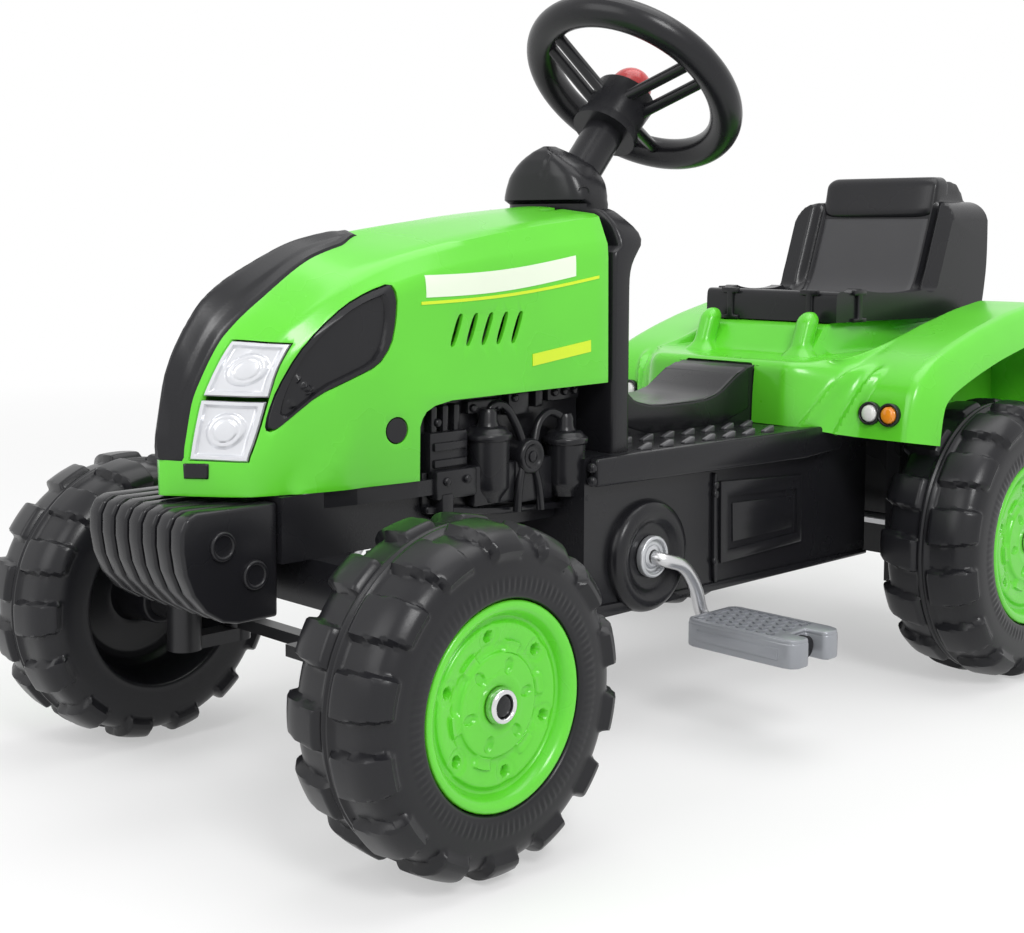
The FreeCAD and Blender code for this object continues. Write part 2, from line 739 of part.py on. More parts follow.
# ears inside the hood that carry the hinge pin
hinge_x = fx - num("hood_rear") + num("hinge_set")
ears = []
for sign in (1, -1):
    y = num("hinge_half_y") * sign
    ear = Part.makeBox(14, 6, 20, Vector(hinge_x - 7, y - 3, num("hinge_z") - 7))
    ears.append(ear.common(outer_form))
    slot_y = (num("hinge_half_y") - 6 - num("fit_gap")) * sign
    shell = shell.cut(Part.makeBox(30, 7.2, 40, Vector(hinge_x - 22, slot_y - 3.6, num("hinge_z") - 3)))
shell = shell.multiFuse(ears)
pin_hole = Part.makeCylinder(num("hinge_pin_r") + num("run_gap"), 200,
                             Vector(hinge_x, -100, num("hinge_z")), Vector(0, 1, 0))
shell = shell.cut(pin_hole)
node(feature("hood_solid", shell), "hood")
for title in ("grille_strip", "side_intake_left", "side_intake_right", "headlight_left", "headlight_right"):
    node(feature(title + "_solid", pieces[title]), title)
node(feature("hood_caps_solid", Part.makeCompound(cap_bits)), "hood_caps")

# dashboard
wall_x0 = fx - num("wall_front") - num("wall_thick")
wall_x1 = fx - num("wall_front")
half = num("wall_half_y")
top_z = num("hood_rear_top_z") + 4
low_z = num("foot_z") + 0.2
wall_shape = prism([(-half, low_z), (half, low_z), (half, top_z - 34), (half - 16, top_z - 15),
                    (half - 44, top_z - 2),
                    (-half + 44, top_z - 2), (-half + 16, top_z - 15), (-half, top_z - 34)], wall_x0,
                    wall_x1, "yz")
pod = prism([(wall_x0, 318), (wall_x0, top_z - 6), (fx - num("pod_rear") + 10, top_z - 9),
             (fx - num("pod_rear"), top_z - 24),
             (fx - num("pod_rear") + 4, 335), (fx - num("pod_rear") + 14, 318)], -num("pod_half_y"),
             num("pod_half_y"), "xz")
hump_low = top_z - 12
hump_y = num("hump_half_y")
hump_z = num("hump_top_z")
hump = prism([(wall_x1, hump_low), (wall_x1, hump_z - 19), (wall_x1 - 13, hump_z - 2),
              (wall_x1 - 30, hump_z - 9),
              (fx - num("hump_rear"), hump_z - 24), (fx - num("hump_rear") + 6, hump_low)], -hump_y, hump_y,
              "xz")
hump = hump.common(prism([(-hump_y, hump_low), (-hump_y, hump_z - 32), (-hump_y + 8, hump_z - 16),
                          (-hump_y + 24, hump_z - 4),
                          (-8, hump_z), (8, hump_z), (hump_y - 24, hump_z - 4), (hump_y - 8, hump_z - 16),
                          (hump_y, hump_z - 32),
                          (hump_y, hump_low)], fx - 400, fx - 100, "yz"))
column_box = prism([(wall_x0, low_z), (wall_x0, 325), (fx - num("post_rear") + 14, 325),
                    (fx - num("post_rear"), 300),
                    (fx - num("post_rear"), low_z)], -num("post_half_y"), num("post_half_y"), "xz")
dash = wall_shape.multiFuse([pod, hump, column_box])
hinge_lugs = []
for sign in (1, -1):
    y = (num("hinge_half_y") - 6 - num("fit_gap")) * sign
    hinge_lugs.append(Part.makeBox(hinge_x - wall_x1 + 8, 6, 11,
                                   Vector(wall_x1 - 8, y - 3, num("hinge_z") - 6)))
    hinge_lugs.append(Part.makeCylinder(6, 6, Vector(hinge_x, y - 3, num("hinge_z")), Vector(0, 1, 0)))
# the wall steps back behind the hood so that its rear edge can swing down
relief = Part.makeBox(8, 2 * half + 20, 32, Vector(wall_x1 - 7, -half - 10, num("hinge_z") - 18))
dash = dash.cut(relief).multiFuse(hinge_lugs)
bush_hole = Part.makeCylinder(num("shaft_r") + 6 + num("fit_gap"), 300, hub_at - along_u * 300, along_u)
dash = dash.cut(bush_hole).cut(Part.makeCylinder(num("hinge_pin_r"), 200,
                                                 Vector(hinge_x, -100, num("hinge_z")), Vector(0, 1, 0)))
dash = dash.cut(Part.makeBox(num("post_rear") - num("wall_front") - 30, 2 * num("post_half_y") - 10, 100,
                             Vector(fx - num("post_rear") + 5, -num("post_half_y") + 5, low_z - 1)))
node(feature("dash_solid", dash), "dashboard")
node(rod("hinge_rod", D["hinge_pin_r"], D["hinge_half_y"] * 2 + 10, behind(D["hood_rear"] - D["hinge_set"]),
         -D["hinge_half_y"] - 5, D["hinge_z"], "y"), "hood_hinge_pin")
bush = column_rod("bush_upper_tube", D["shaft_r"] + 6, 40, 146)
node(cut("bush_upper_cut", bush, [column_rod("bush_upper_bore", D["shaft_r"] + D["run_gap"], 60, 156)]),
     "column_bush_upper")

# chassis
tub_top = D["foot_z"]
low = D["tub_bottom_z"]
rails = block("rails", behind(D["rail_rear"]), ahead(D["rail_front"]), -D["rail_half_y"], D["rail_half_y"],
              D["rail_bottom_z"], D["deck_z"])
deck_y = num("deck_half_y")
deck = feature("deck", prism([
    (fx - num("post_rear"), -deck_y), (fx - num("arch_front"), -deck_y + 1), (fx - 18, -deck_y + 5.5),
    (fx + 20, -deck_y + 13),
    (fx + num("rail_front"), -deck_y + 18), (fx + num("rail_front"), deck_y - 18), (fx + 20, deck_y - 13),
    (fx - 18, deck_y - 5.5),
    (fx - num("arch_front"), deck_y - 1), (fx - num("post_rear"), deck_y)],
    num("deck_z") - num("deck_thick"), num("deck_z"), "xy"))
tub = block("tub", behind(D["tub_rear"]), behind(D["tub_front"]), -D["tub_half_y"], D["tub_half_y"], low,
            tub_top)
foot = block("foot", behind(D["foot_rear"]), behind(D["tub_front"]) - 25, -D["foot_half_y"],
             D["foot_half_y"],
             D["foot_z"] - D["foot_thick"], D["foot_z"])
housing = block("housing", behind(D["housing_rear"]), behind(D["tub_rear"]) + 6, -D["housing_half_y"],
                D["housing_half_y"],
                low - 20, D["housing_top_z"])
tunnel = feature("tunnel", prism([
    (fx - num("body_front") - 8, num("tub_bottom_z") + 60),
    (fx - num("body_front") - 8, num("tunnel_high_z")),
    (fx - num("body_front") + 18, num("tunnel_high_z") - 6),
    (fx - num("body_front") + 42, num("tunnel_low_z") + 4),
    (fx - num("body_front") + 62, num("tunnel_low_z")),
    (fx - num("post_rear") - 44, num("tunnel_low_z")),
    (fx - num("post_rear") - 22, num("tunnel_low_z") + 5),
    (fx - num("post_rear") - 8, num("tunnel_high_z") - 8),
    (fx - num("post_rear") - 0.3, num("tunnel_high_z")),
    (fx - num("post_rear") - 0.3, num("tub_bottom_z") + 60),
], -num("tunnel_half_y"), num("tunnel_half_y"), "xz"))
chassis_adds = [rails, deck, tub, foot, housing, tunnel]
wall = D["shell_wall"]
chassis_cuts = [
    block("tub_space", behind(D["tub_rear"]) - 10, behind(D["tub_front"]) - wall, -D["tub_half_y"] + wall,
          D["tub_half_y"] - wall, low - 10, tub_top - D["foot_thick"]),
    block("housing_space", behind(D["housing_rear"]) + wall, behind(D["tub_rear"]) + 8,
          -D["housing_half_y"] + wall + 8,
          D["housing_half_y"] - wall - 8, low - 40, D["housing_top_z"] - wall),
    block("tunnel_space", behind(D["body_front"]) + 0, behind(D["post_rear"]) - wall,
          -D["tunnel_half_y"] + wall,
          D["tunnel_half_y"] - wall, low, D["tunnel_low_z"] - wall),
    block("rail_space_rear", behind(D["rail_rear"]) + wall + 10, behind(D["beam_half_x"]) - 110,
          -D["rail_half_y"] + wall,
          D["rail_half_y"] - wall, D["rail_bottom_z"] - 5, D["deck_z"] - D["deck_thick"]),
    block("rail_space_front", behind(D["beam_half_x"]) - 40, behind(D["beam_half_x"]) - 8,
          -D["rail_half_y"] + wall,
          D["rail_half_y"] - wall, D["rail_bottom_z"] - 5, D["deck_z"] - D["deck_thick"]),
    column_rod("column_hole", D["shaft_r"] + 8 + D["fit_gap"], 120, 440),
]
for side, sign in (("left", 1), ("right", -1)):
    y0 = D["tub_half_y"] - wall - 4 if sign > 0 else -D["boss_y"]
    chassis_adds.append(rod("boss_" + side, D["boss_r"], D["boss_y"] - D["tub_half_y"] + wall + 4,
                            behind(D["crank_x"]), y0,
                            D["crank_z"], "y"))
    chassis_cuts.append(rod("boss_hole_" + side, D["axle_r"] + 6 + D["fit_gap"], 40, behind(D["crank_x"]),
                            D["tub_half_y"] - 20 if sign > 0 else -D["tub_half_y"] - 20, D["crank_z"], "y"))
    chassis_cuts.append(rod("axle_hole_" + side, D["axle_r"] + 6 + D["fit_gap"], 60, REAR,
                            D["housing_half_y"] - 30 if sign > 0 else -D["housing_half_y"] - 30,
                            D["rear_tyre_r"], "y"))
node(cut("chassis_cut", fuse("chassis_fuse", chassis_adds), chassis_cuts), "chassis")
bush = column_rod("bush_lower_tube", D["shaft_r"] + 8, 34, 398)
node(cut("bush_lower_cut", bush, [column_rod("bush_lower_bore", D["shaft_r"] + D["run_gap"], 60, 410)]),
     "column_bush_lower")

# engine relief panels
panel = block("engine_plate", behind(D["hood_rear"] - 3), behind(D["arch_front"] + 1), D["engine_inner_y"],
              D["engine_half_y"] - 9, D["foot_z"] + 0.2, D["arch_rear_z"] + 6)
relief = [panel]
for step in range(3):
    relief.append(rod("engine_filter_%d" % step, 11 - 2 * step, 42,
                      behind(D["arch_front"] + 24 + 30 * step), D["engine_half_y"] - 10,
                      D["foot_z"] + 3, "z"))
relief.append(rod("engine_pump", 19, 16, behind(D["hood_rear"] - 40), D["engine_half_y"] - 16,
                  D["deck_z"] + 26, "y"))
relief.append(block("engine_rib", behind(D["hood_rear"] - 6), behind(D["arch_front"] + 4),
                    D["engine_half_y"] - 10,
                    D["engine_half_y"] - 1, D["foot_z"] + 0.2, D["foot_z"] + 7))
relief.append(block("engine_head", behind(D["hood_rear"] - 6), behind(D["arch_front"] + 90),
                    D["engine_half_y"] - 10,
                    D["engine_half_y"] - 3, D["deck_z"] + 46, D["arch_rear_z"] + 4))
left_engine = node(fuse("engine_fuse", relief), "engine_left")
node(mirrored("engine_mirror", left_engine), "engine_right")

# front weights
slabs = []
ribs = int(num("weight_ribs"))
wide = 2 * num("weight_half_y") / ribs
for step in range(ribs):
    for part, inset in ((0.0, 4.0), (0.3, 0.0)):
        y0 = -num("weight_half_y") + wide * (step + part)
        y1 = -num("weight_half_y") + wide * (step + (0.3 if part == 0.0 else 1.0))
        f = fx + num("weight_front") - inset
        r = fx + num("weight_rear")
        t = num("weight_top_z")
        b = num("weight_bottom_z")
        slabs.append(prism([(r, t), (f - 8, t), (f, t - 8), (f - 2, t - 34), (f - 12, b + 16), (f - 30, b),
                            (r, b)], y0, y1, "xz"))
weight = slabs[0].multiFuse(slabs[1:]).removeSplitter()
rings = []
for sign in (1, -1):
    for x, z in ((76, 175), (54, 157)):
        rings.append(Part.makeCylinder(7, 2, Vector(fx + x, num("weight_half_y") * sign, z),
                                       Vector(0, sign, 0)))
node(feature("weight_solid", weight.multiFuse(rings)), "front_weight")

# crank, pedals and drive
rest = math.radians(num("crank_rest"))
cx = fx - num("crank_x")
cz = num("crank_z")
throw_x = -num("crank_arm") * math.sin(rest)
throw_z = -num("crank_arm") * math.cos(rest)
pedal_end = num("pedal_inner_y") + num("pedal_long") - 12
turns = [
    Vector(cx - throw_x, -pedal_end, cz - throw_z), Vector(cx - throw_x, -num("arm_y"), cz - throw_z),
    Vector(cx, -num("arm_y"), cz), Vector(cx, num("arm_y"), cz),
    Vector(cx + throw_x, num("arm_y"), cz + throw_z), Vector(cx + throw_x, pedal_end, cz + throw_z),
]
rods = []
for a, b in zip(turns[:-1], turns[1:]):
    rods.append(Part.makeCylinder(num("axle_r"), (b - a).Length, a, b - a))
for a in turns[1:-1]:
    rods.append(Part.makeSphere(num("axle_r"), a))
node(feature("crank_solid", rods[0].multiFuse(rods[1:])), "crank")

bushes = []
caps = []
for side, sign in (("left", 1), ("right", -1)):
    long = D["boss_y"] - D["tub_half_y"] + 14
    y0 = D["boss_y"] - long if sign > 0 else -D["boss_y"]
    tube = rod("crank_bush_tube_" + side, D["axle_r"] + 6, long, behind(D["crank_x"]), y0, D["crank_z"],
               "y")
    hole = rod("crank_bush_hole_" + side, D["axle_r"] + D["run_gap"], long + 2, behind(D["crank_x"]),
               y0 - 1, D["crank_z"], "y")
    bushes.append(cut("crank_bush_" + side, tube, [hole]))
    y0 = D["boss_y"] + D["run_gap"] if sign > 0 else -D["boss_y"] - D["run_gap"] - D["crank_cap_thick"]
    tube = rod("crank_cap_tube_" + side, D["axle_r"] + 9, D["crank_cap_thick"], behind(D["crank_x"]), y0,
               D["crank_z"], "y")
    hole = rod("crank_cap_hole_" + side, D["axle_r"], D["crank_cap_thick"] + 2, behind(D["crank_x"]),
               y0 - 1, D["crank_z"], "y")
    caps.append(cut("crank_cap_" + side, tube, [hole]))
node(group("crank_bushes_group", bushes), "crank_bushes")
node(group("crank_caps_group", caps), "crank_caps")

for side, sign in (("left", 1), ("right", -1)):
    px = cx + throw_x * sign
    pz = cz + throw_z * sign
    body = Part.makeBox(num("pedal_wide"), num("pedal_long"), num("pedal_thick"),
                        Vector(px - num("pedal_wide") / 2, num("pedal_inner_y"),
                               pz - num("pedal_thick") / 2))
    upright = [edge for edge in body.Edges if abs(edge.tangentAt(edge.FirstParameter).z) > 0.9]
    body = body.makeFillet(7, upright)
    hole = Part.makeCylinder(num("axle_r") + num("run_gap"), num("pedal_long") + 20,
                             Vector(px, num("pedal_inner_y") - 10, pz), Vector(0, 1, 0))
    notch = Part.makeBox(18, 16, num("pedal_thick") + 2,
                         Vector(px - 9, num("pedal_inner_y") + num("pedal_long") - 16,
                                pz - num("pedal_thick") / 2 - 1))
    cap = Part.makeCylinder(7.5, 6, Vector(px, pedal_end - 3.5, pz), Vector(0, 1, 0)).cut(
        Part.makeCylinder(num("axle_r"), 3.5, Vector(px, pedal_end - 3.5, pz), Vector(0, 1, 0)))
    body = body.cut(hole).cut(notch)
    if sign < 0:
        body = body.mirror(Vector(0, 0, 0), Vector(0, 1, 0))
        cap = cap.mirror(Vector(0, 0, 0), Vector(0, 1, 0))
    node(feature("pedal_solid_" + side, body), "pedal_" + side)
    node(feature("pedal_cap_solid_" + side, cap), "pedal_cap_" + side)


def sprocket(x, z):
    count = int(num("teeth"))
    thick = num("chain_gap") - 1.4
    y = num("chain_y") - thick / 2
    disc = Part.makeCylinder(num("chain_r") - 4, thick, Vector(x, y, z), Vector(0, 1, 0))
    teeth = []
    for step in range(count):
        angle = 2 * math.pi * step / count
        tooth = prism([(num("chain_r") - 6, -3), (num("chain_r") + 1.5, -1.2), (num("chain_r") + 1.5, 1.2),
                       (num("chain_r") - 6, 3)],
                      y, y + thick, "xz")
        tooth.rotate(Vector(0, 0, 0), Vector(0, 1, 0), math.degrees(angle))
        tooth.translate(Vector(x, 0, z))
        teeth.append(tooth)
    hub = Part.makeCylinder(num("axle_r") + 5, thick + 8, Vector(x, y - 4, z), Vector(0, 1, 0))
    return disc.multiFuse(teeth + [hub]).cut(Part.makeCylinder(num("axle_r"), 40, Vector(x, y - 20, z),
            Vector(0, 1, 0)))


rx = REAR.value
rz = num("rear_tyre_r")
node(feature("drive_sprocket_solid", sprocket(cx, cz)), "drive_sprocket")
node(feature("axle_sprocket_solid", sprocket(rx, rz)), "axle_sprocket")


def stadium(radius, y, thick):
    a = Vector(cx, y, cz)
    b = Vector(rx, y, rz)
    way = (b - a)
    side = way.cross(Vector(0, 1, 0)).normalize() * radius
    corners = [a + side, b + side, b - side, a - side]
    flat = Part.Face(Part.makePolygon(corners + [corners[0]])).extrude(Vector(0, thick, 0))
    ends = [Part.makeCylinder(radius, thick, a, Vector(0, 1, 0)),
            Part.makeCylinder(radius, thick, b, Vector(0, 1, 0))]
    return flat.multiFuse(ends)


plates = []
for sign in (1, -1):
    y = num("chain_y") + num("chain_gap") / 2
    if sign < 0:
        y = num("chain_y") - num("chain_gap") / 2 - num("chain_plate")
    outer = stadium(num("chain_r") + num("chain_height") / 2, y, num("chain_plate"))
    inner = stadium(num("chain_r") - num("chain_height") / 2, y - 1, num("chain_plate") + 2)
    plates.append(outer.cut(inner))
a = Vector(cx, 0, cz)
b = Vector(rx, 0, rz)
side = (b - a).cross(Vector(0, 1, 0)).normalize() * num("chain_r")
pins = []
count = 19
for step in range(3, count - 2):
    mid = a + (b - a) * (step / float(count))
    for sign in (1, -1):
        spot = mid + side * sign
        pins.append(Part.makeCylinder(2.4, num("chain_gap") + 2,
                                      Vector(spot.x, num("chain_y") - num("chain_gap") / 2 - 1, spot.z),
                                      Vector(0, 1, 0)))
node(feature("chain_solid", plates[0].multiFuse([plates[1]] + pins)), "drive_chain")
node(rod("rear_axle_rod", D["axle_r"], AXLE_END * 2, REAR, -AXLE_END, D["rear_tyre_r"], "y"), "rear_axle")
bushes = []
for side, sign in (("left", 1), ("right", -1)):
    y0 = D["housing_half_y"] - 12 if sign > 0 else -D["housing_half_y"] - 3
    long = 15
    tube = rod("axle_bush_tube_" + side, D["axle_r"] + 6, long, REAR, y0, D["rear_tyre_r"], "y")
    hole = rod("axle_bush_hole_" + side, D["axle_r"] + D["run_gap"], 40, REAR, y0 - 10, D["rear_tyre_r"],
               "y")
    bushes.append(cut("axle_bush_" + side, tube, [hole]))
node(group("axle_bushes_group", bushes), "rear_axle_bushes")

# rear body with fenders
bw = num("body_wall")
body_x0 = fx - num("body_rear")
body_x1 = fx - num("body_front")
front_edge = num("notch_z") + 4
slope_x = body_x1 - num("slope_long")


def core_form(inset, low, half):
    return prism([(body_x1 - inset, low), (body_x1 - 3 - inset, front_edge - 5 - inset),
                  (body_x1 - 8 - inset, front_edge - inset),
                  (slope_x - inset * 0.5, num("body_top_z") - inset),
                  (body_x0 + inset, num("body_top_z") - inset),
                  (body_x0 + inset, low)], -half, half, "xz")


def ledge_form(inset, low, half):
    """The lower part, which reaches out to the fenders beside the seat."""
    return prism([(body_x1 - inset, low), (body_x1 - 3 - inset, front_edge - 5 - inset),
                  (body_x1 - 8 - inset, front_edge - inset), (body_x1 - 20 - inset, num("ledge_z") - inset),
                  (body_x0 + inset, num("ledge_z") - inset), (body_x0 + inset, low)], -half, half, "xz")


core = core_form(0, num("body_bottom_z"), num("core_half_y"))
core = core.fuse(ledge_form(0, num("body_bottom_z"), num("body_half_y")))


def fender_form(inset, y0, y1):
    front = fx - num("fender_front") - inset
    top = num("fender_top_z") - inset
    rear = fx - num("body_rear") + inset
    low_z = num("body_bottom_z") - 8
    line = [(3, 84), (12, 60), (33, 45), (87, 27), (148, 13), (205, 2), (233, 4), (249, 24)]
    points = [Vector(front, y0, low_z)]
    for along, below in line:
        points.append(Vector(front + (rear - front) * along / 249.0, y0, top - below))
    curve = spline(points)
    low_rear = Vector(rear, y0, low_z)
    wire = Part.Wire([curve, Part.makeLine(points[-1], low_rear), Part.makeLine(low_rear, points[0])])
    return Part.Face(wire).extrude(Vector(0, y1 - y0, 0))


fenders = []
spaces = []
for sign in (1, -1):
    outer = fender_form(0, num("body_half_y") - 6, num("fender_outer_y"))
    inner = fender_form(bw, num("body_half_y"), num("fender_outer_y") - bw)
    low = Part.makeBox(400, 200, 40, Vector(fx - num("fender_front") - bw - 400, num("body_half_y"),
                                            num("body_bottom_z") - 40))
    low = low.common(Part.makeBox(400 - 2 * bw, 76 - bw, 40,
                                  Vector(body_x0 + bw, num("body_half_y"), num("body_bottom_z") - 40)))
    arch_cut = Part.makeCylinder(num("arch_r"), 200, Vector(rx, num("body_half_y") + 1, rz),
                                 Vector(0, 1, 0))
    skirt_cut = fender_form(num("skirt_band"), num("body_half_y") + 1, 200)
    if sign < 0:
        outer, inner, arch_cut, skirt_cut = [
            s.mirror(Vector(0, 0, 0), Vector(0, 1, 0)) for s in (outer, inner, arch_cut, skirt_cut)]
    fenders.append(outer)
    spaces += [inner, arch_cut, skirt_cut]
green = core.multiFuse(fenders)
spaces.append(core_form(bw, num("body_bottom_z") - 20, num("core_half_y") - bw))
spaces.append(ledge_form(bw, num("body_bottom_z") - 20, num("body_half_y") - bw))
spaces.append(Part.makeBox(80, 2 * num("notch_half_y"), num("notch_z") - num("body_bottom_z") + 20,
                           Vector(body_x1 - 60, -num("notch_half_y"), num("body_bottom_z") - 20)))
# the fenders step up over the axle housing and the footplate
step_y = num("housing_half_y") + 2
spaces.append(Part.makeBox(body_x1 - body_x0 + 40, 2 * step_y, 30,
                           Vector(body_x0 - 20, -step_y, num("body_bottom_z") - 30)))
for tool in spaces:
    green = green.cut(tool)
posts = []
post_back = fx - num("post_x") - num("post_r")
for sign in (1, -1):
    y = num("post_y") * sign
    rib = prism([(body_x1 - 12, front_edge - 3), (fx - num("post_x") + 14, num("post_top_z") - 6),
                 (fx - num("post_x") + 6, num("post_top_z")),
                 (post_back + 6, num("post_top_z")), (post_back, num("post_top_z") - 7),
                 (post_back, num("body_top_z") - 6)],
                y - num("post_r"), y + num("post_r"), "xz")
    posts.append(rib.cut(core_form(bw - 1, num("body_bottom_z") - 20, num("core_half_y") - bw)))
green = green.multiFuse(posts)
lamp_front = fx - num("fender_front") - 1.5
bezels = []
whites = []
ambers = []
for sign in (1, -1):
    for offset, store in ((-8, whites), (8, ambers)):
        y = (num("lamp_y") + offset) * sign
        hole = Part.makeCylinder(num("lamp_r") + 2, 30, Vector(lamp_front - 14, y, num("lamp_z")),
                                 Vector(1, 0, 0))
        green = green.cut(hole)
        ring_part = Part.makeCylinder(num("lamp_r") + 2 - num("fit_gap"), 12,
                                      Vector(lamp_front - 10, y, num("lamp_z")), Vector(1, 0, 0))
        bezels.append(ring_part.cut(Part.makeCylinder(num("lamp_r"), 20,
                                                      Vector(lamp_front - 6, y, num("lamp_z")),
                                                      Vector(1, 0, 0))))
        lens = Part.makeCylinder(num("lamp_r") - 0.2, 9.5, Vector(lamp_front - 6, y, num("lamp_z")),
                                 Vector(1, 0, 0))
        store.append(lens)
bezel = bezels[0].multiFuse(bezels[1:])
node(feature("rear_body_solid", green), "rear_body")
node(feature("lamp_bezels_solid", Part.makeCompound([bezels[0].fuse(bezels[1]),
                                                     bezels[2].fuse(bezels[3])])), "lamp_bezels")
node(feature("lamp_white_solid", Part.makeCompound(whites)), "lamp_lenses_white")
node(feature("lamp_amber_solid", Part.makeCompound(ambers)), "lamp_lenses_amber")

# seat
st = num("seat_thick")
sf = fx - num("seat_front")
sb = fx - num("seat_back")
base_z = num("body_top_z") + num("fit_gap")
hw = num("seat_half_y")
pan = prism([(sf, base_z), (sf, num("seat_lip_z")), (sf - 14, num("seat_lip_z")),
             (sf - 26, base_z + st + 6), (sf - 60, base_z + st),
             (sb + 60, base_z + st), (sb + 44, base_z + 14), (sb + 24, num("seat_top_z") - 40),
             (sb + 12, num("seat_top_z")),
             (sb, num("seat_top_z")), (sb + 10, num("seat_top_z") - 60), (sb + 30, base_z)], -hw, hw, "xz")
lip_z = num("seat_lip_z")
back_z = num("seat_top_z")
wing = [(sf - 6, base_z), (sf - 6, lip_z), (sf - 100, lip_z), (sf - 132, lip_z + 9), (sf - 152, lip_z + 36),
        (sb + 40, back_z - 26),
        (sb + 30, back_z - 17), (sb + 8, back_z - 17), (sb + 10, back_z - 60), (sb + 30, base_z)]
wings = [prism(wing, hw - 8, hw, "xz"), prism(wing, -hw, -hw + 8, "xz")]
seat = pan.multiFuse(wings)
trim = []
for sign in (1, -1):
    corner = [(hw * sign * 1.2, back_z + 5), (hw * sign * 0.58, back_z + 5), (hw * sign * 0.66, back_z - 4),
              (hw * sign * 0.7, back_z - 16),
              (hw * sign * 0.9, back_z - 18), (hw * sign, back_z - 30), (hw * sign * 1.2, back_z - 30)]
    trim.append(prism(corner, sb - 10, sb + 80, "yz"))
for tool in trim:
    seat = seat.cut(tool)
holes = []
bolt_bits = []
for sign in (1, -1):
    for x in (sf - 70, sb + 70):
        holes.append(Part.makeCylinder(num("bolt_r") + 0.2, 60, Vector(x, 40 * sign, base_z - 30),
                                       Vector(0, 0, 1)))
        bolt_bits.append(Part.makeCylinder(num("bolt_r"), 18, Vector(x, 40 * sign, base_z + st - 17.5),
                                           Vector(0, 0, 1)).fuse(
            Part.makeCylinder(num("bolt_r") + 4, 3, Vector(x, 40 * sign, base_z + st + 0.1),
                              Vector(0, 0, 1))))
seat = seat.cut(Part.makeCompound(holes))
NODES[[n.Label for n in NODES].index("rear_body")].Shape = green.cut(Part.makeCompound(holes))
node(feature("seat_solid", seat), "seat")
node(feature("seat_bolts_solid", Part.makeCompound(bolt_bits)), "seat_bolts")

# tow hitch under the rear body
hitch_z = D["tub_bottom_z"] + 20
plate = block("hitch_bar", behind(D["seat_back"]), behind(D["housing_rear"]) - 0.2, -D["hitch_half_y"],
              D["hitch_half_y"], hitch_z,
              hitch_z + D["hitch_thick"])
flange = block("hitch_flange", behind(D["housing_rear"]) - 6, behind(D["housing_rear"]) - 0.2,
               -D["hitch_half_y"], D["hitch_half_y"], hitch_z - 20,
               hitch_z + 26)
bore = rod("hitch_bore", D["hitch_bore_r"], 40, behind(D["seat_back"]) + 20, 0, hitch_z - 10, "z")
node(cut("hitch_cut", fuse("hitch_fuse", [plate, flange]), [bore]), "tow_hitch")

doc.recompute()
bad = []
for item in doc.Objects:
    if "Invalid" in item.State or "Error" in item.State:
        bad.append(item.Label)
for item in NODES:
    shape = item.Shape
    print(item.Label, len(shape.Solids), round(shape.Volume / 1000, 1), [round(v, 1) for v in (
        shape.BoundBox.XMin, shape.BoundBox.XMax, shape.BoundBox.YMin, shape.BoundBox.YMax,
        shape.BoundBox.ZMin, shape.BoundBox.ZMax)])
    if shape.isNull() or not shape.isValid() or not shape.Solids:
        bad.append(item.Label)
if bad:
    raise RuntimeError("objects that did not build: %s" % bad)
for item in NODES:
    item.Shape.exportStep("parts/%s.step" % item.Label)
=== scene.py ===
"""Looks of the ride-on pedal tractor toy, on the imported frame."""
import json
import math
from functools import lru_cache

import bpy
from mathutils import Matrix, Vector

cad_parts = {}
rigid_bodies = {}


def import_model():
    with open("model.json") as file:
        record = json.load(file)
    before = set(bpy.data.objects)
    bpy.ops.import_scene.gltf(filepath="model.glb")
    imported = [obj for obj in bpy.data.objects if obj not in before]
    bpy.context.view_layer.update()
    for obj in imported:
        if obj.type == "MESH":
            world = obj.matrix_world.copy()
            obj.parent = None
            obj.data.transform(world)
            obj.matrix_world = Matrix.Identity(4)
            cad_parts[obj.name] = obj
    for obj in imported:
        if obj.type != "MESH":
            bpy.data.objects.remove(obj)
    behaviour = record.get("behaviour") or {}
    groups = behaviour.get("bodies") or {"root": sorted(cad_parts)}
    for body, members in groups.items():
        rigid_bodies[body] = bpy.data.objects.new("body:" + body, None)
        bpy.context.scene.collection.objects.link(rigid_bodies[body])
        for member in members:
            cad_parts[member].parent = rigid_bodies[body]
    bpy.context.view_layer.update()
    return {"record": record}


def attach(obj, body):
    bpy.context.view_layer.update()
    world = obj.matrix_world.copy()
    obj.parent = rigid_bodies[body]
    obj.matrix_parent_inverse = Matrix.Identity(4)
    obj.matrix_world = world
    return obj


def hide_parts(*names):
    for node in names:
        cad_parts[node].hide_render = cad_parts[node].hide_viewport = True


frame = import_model()

# axles in millimetres from the origin, and the two sides
FRONT_AXLE_X = 321.0
REAR_AXLE_X = -277.0
SIDES = (("left", 1), ("right", -1))

# materials


def set_inputs(node, values):
    for key, value in values.items():
        node.inputs[key].default_value = value


def wire(source, output, target, entry):
    """Links one node's output to another node's input."""
    source.id_data.links.new(source.outputs[output], target.inputs[entry])


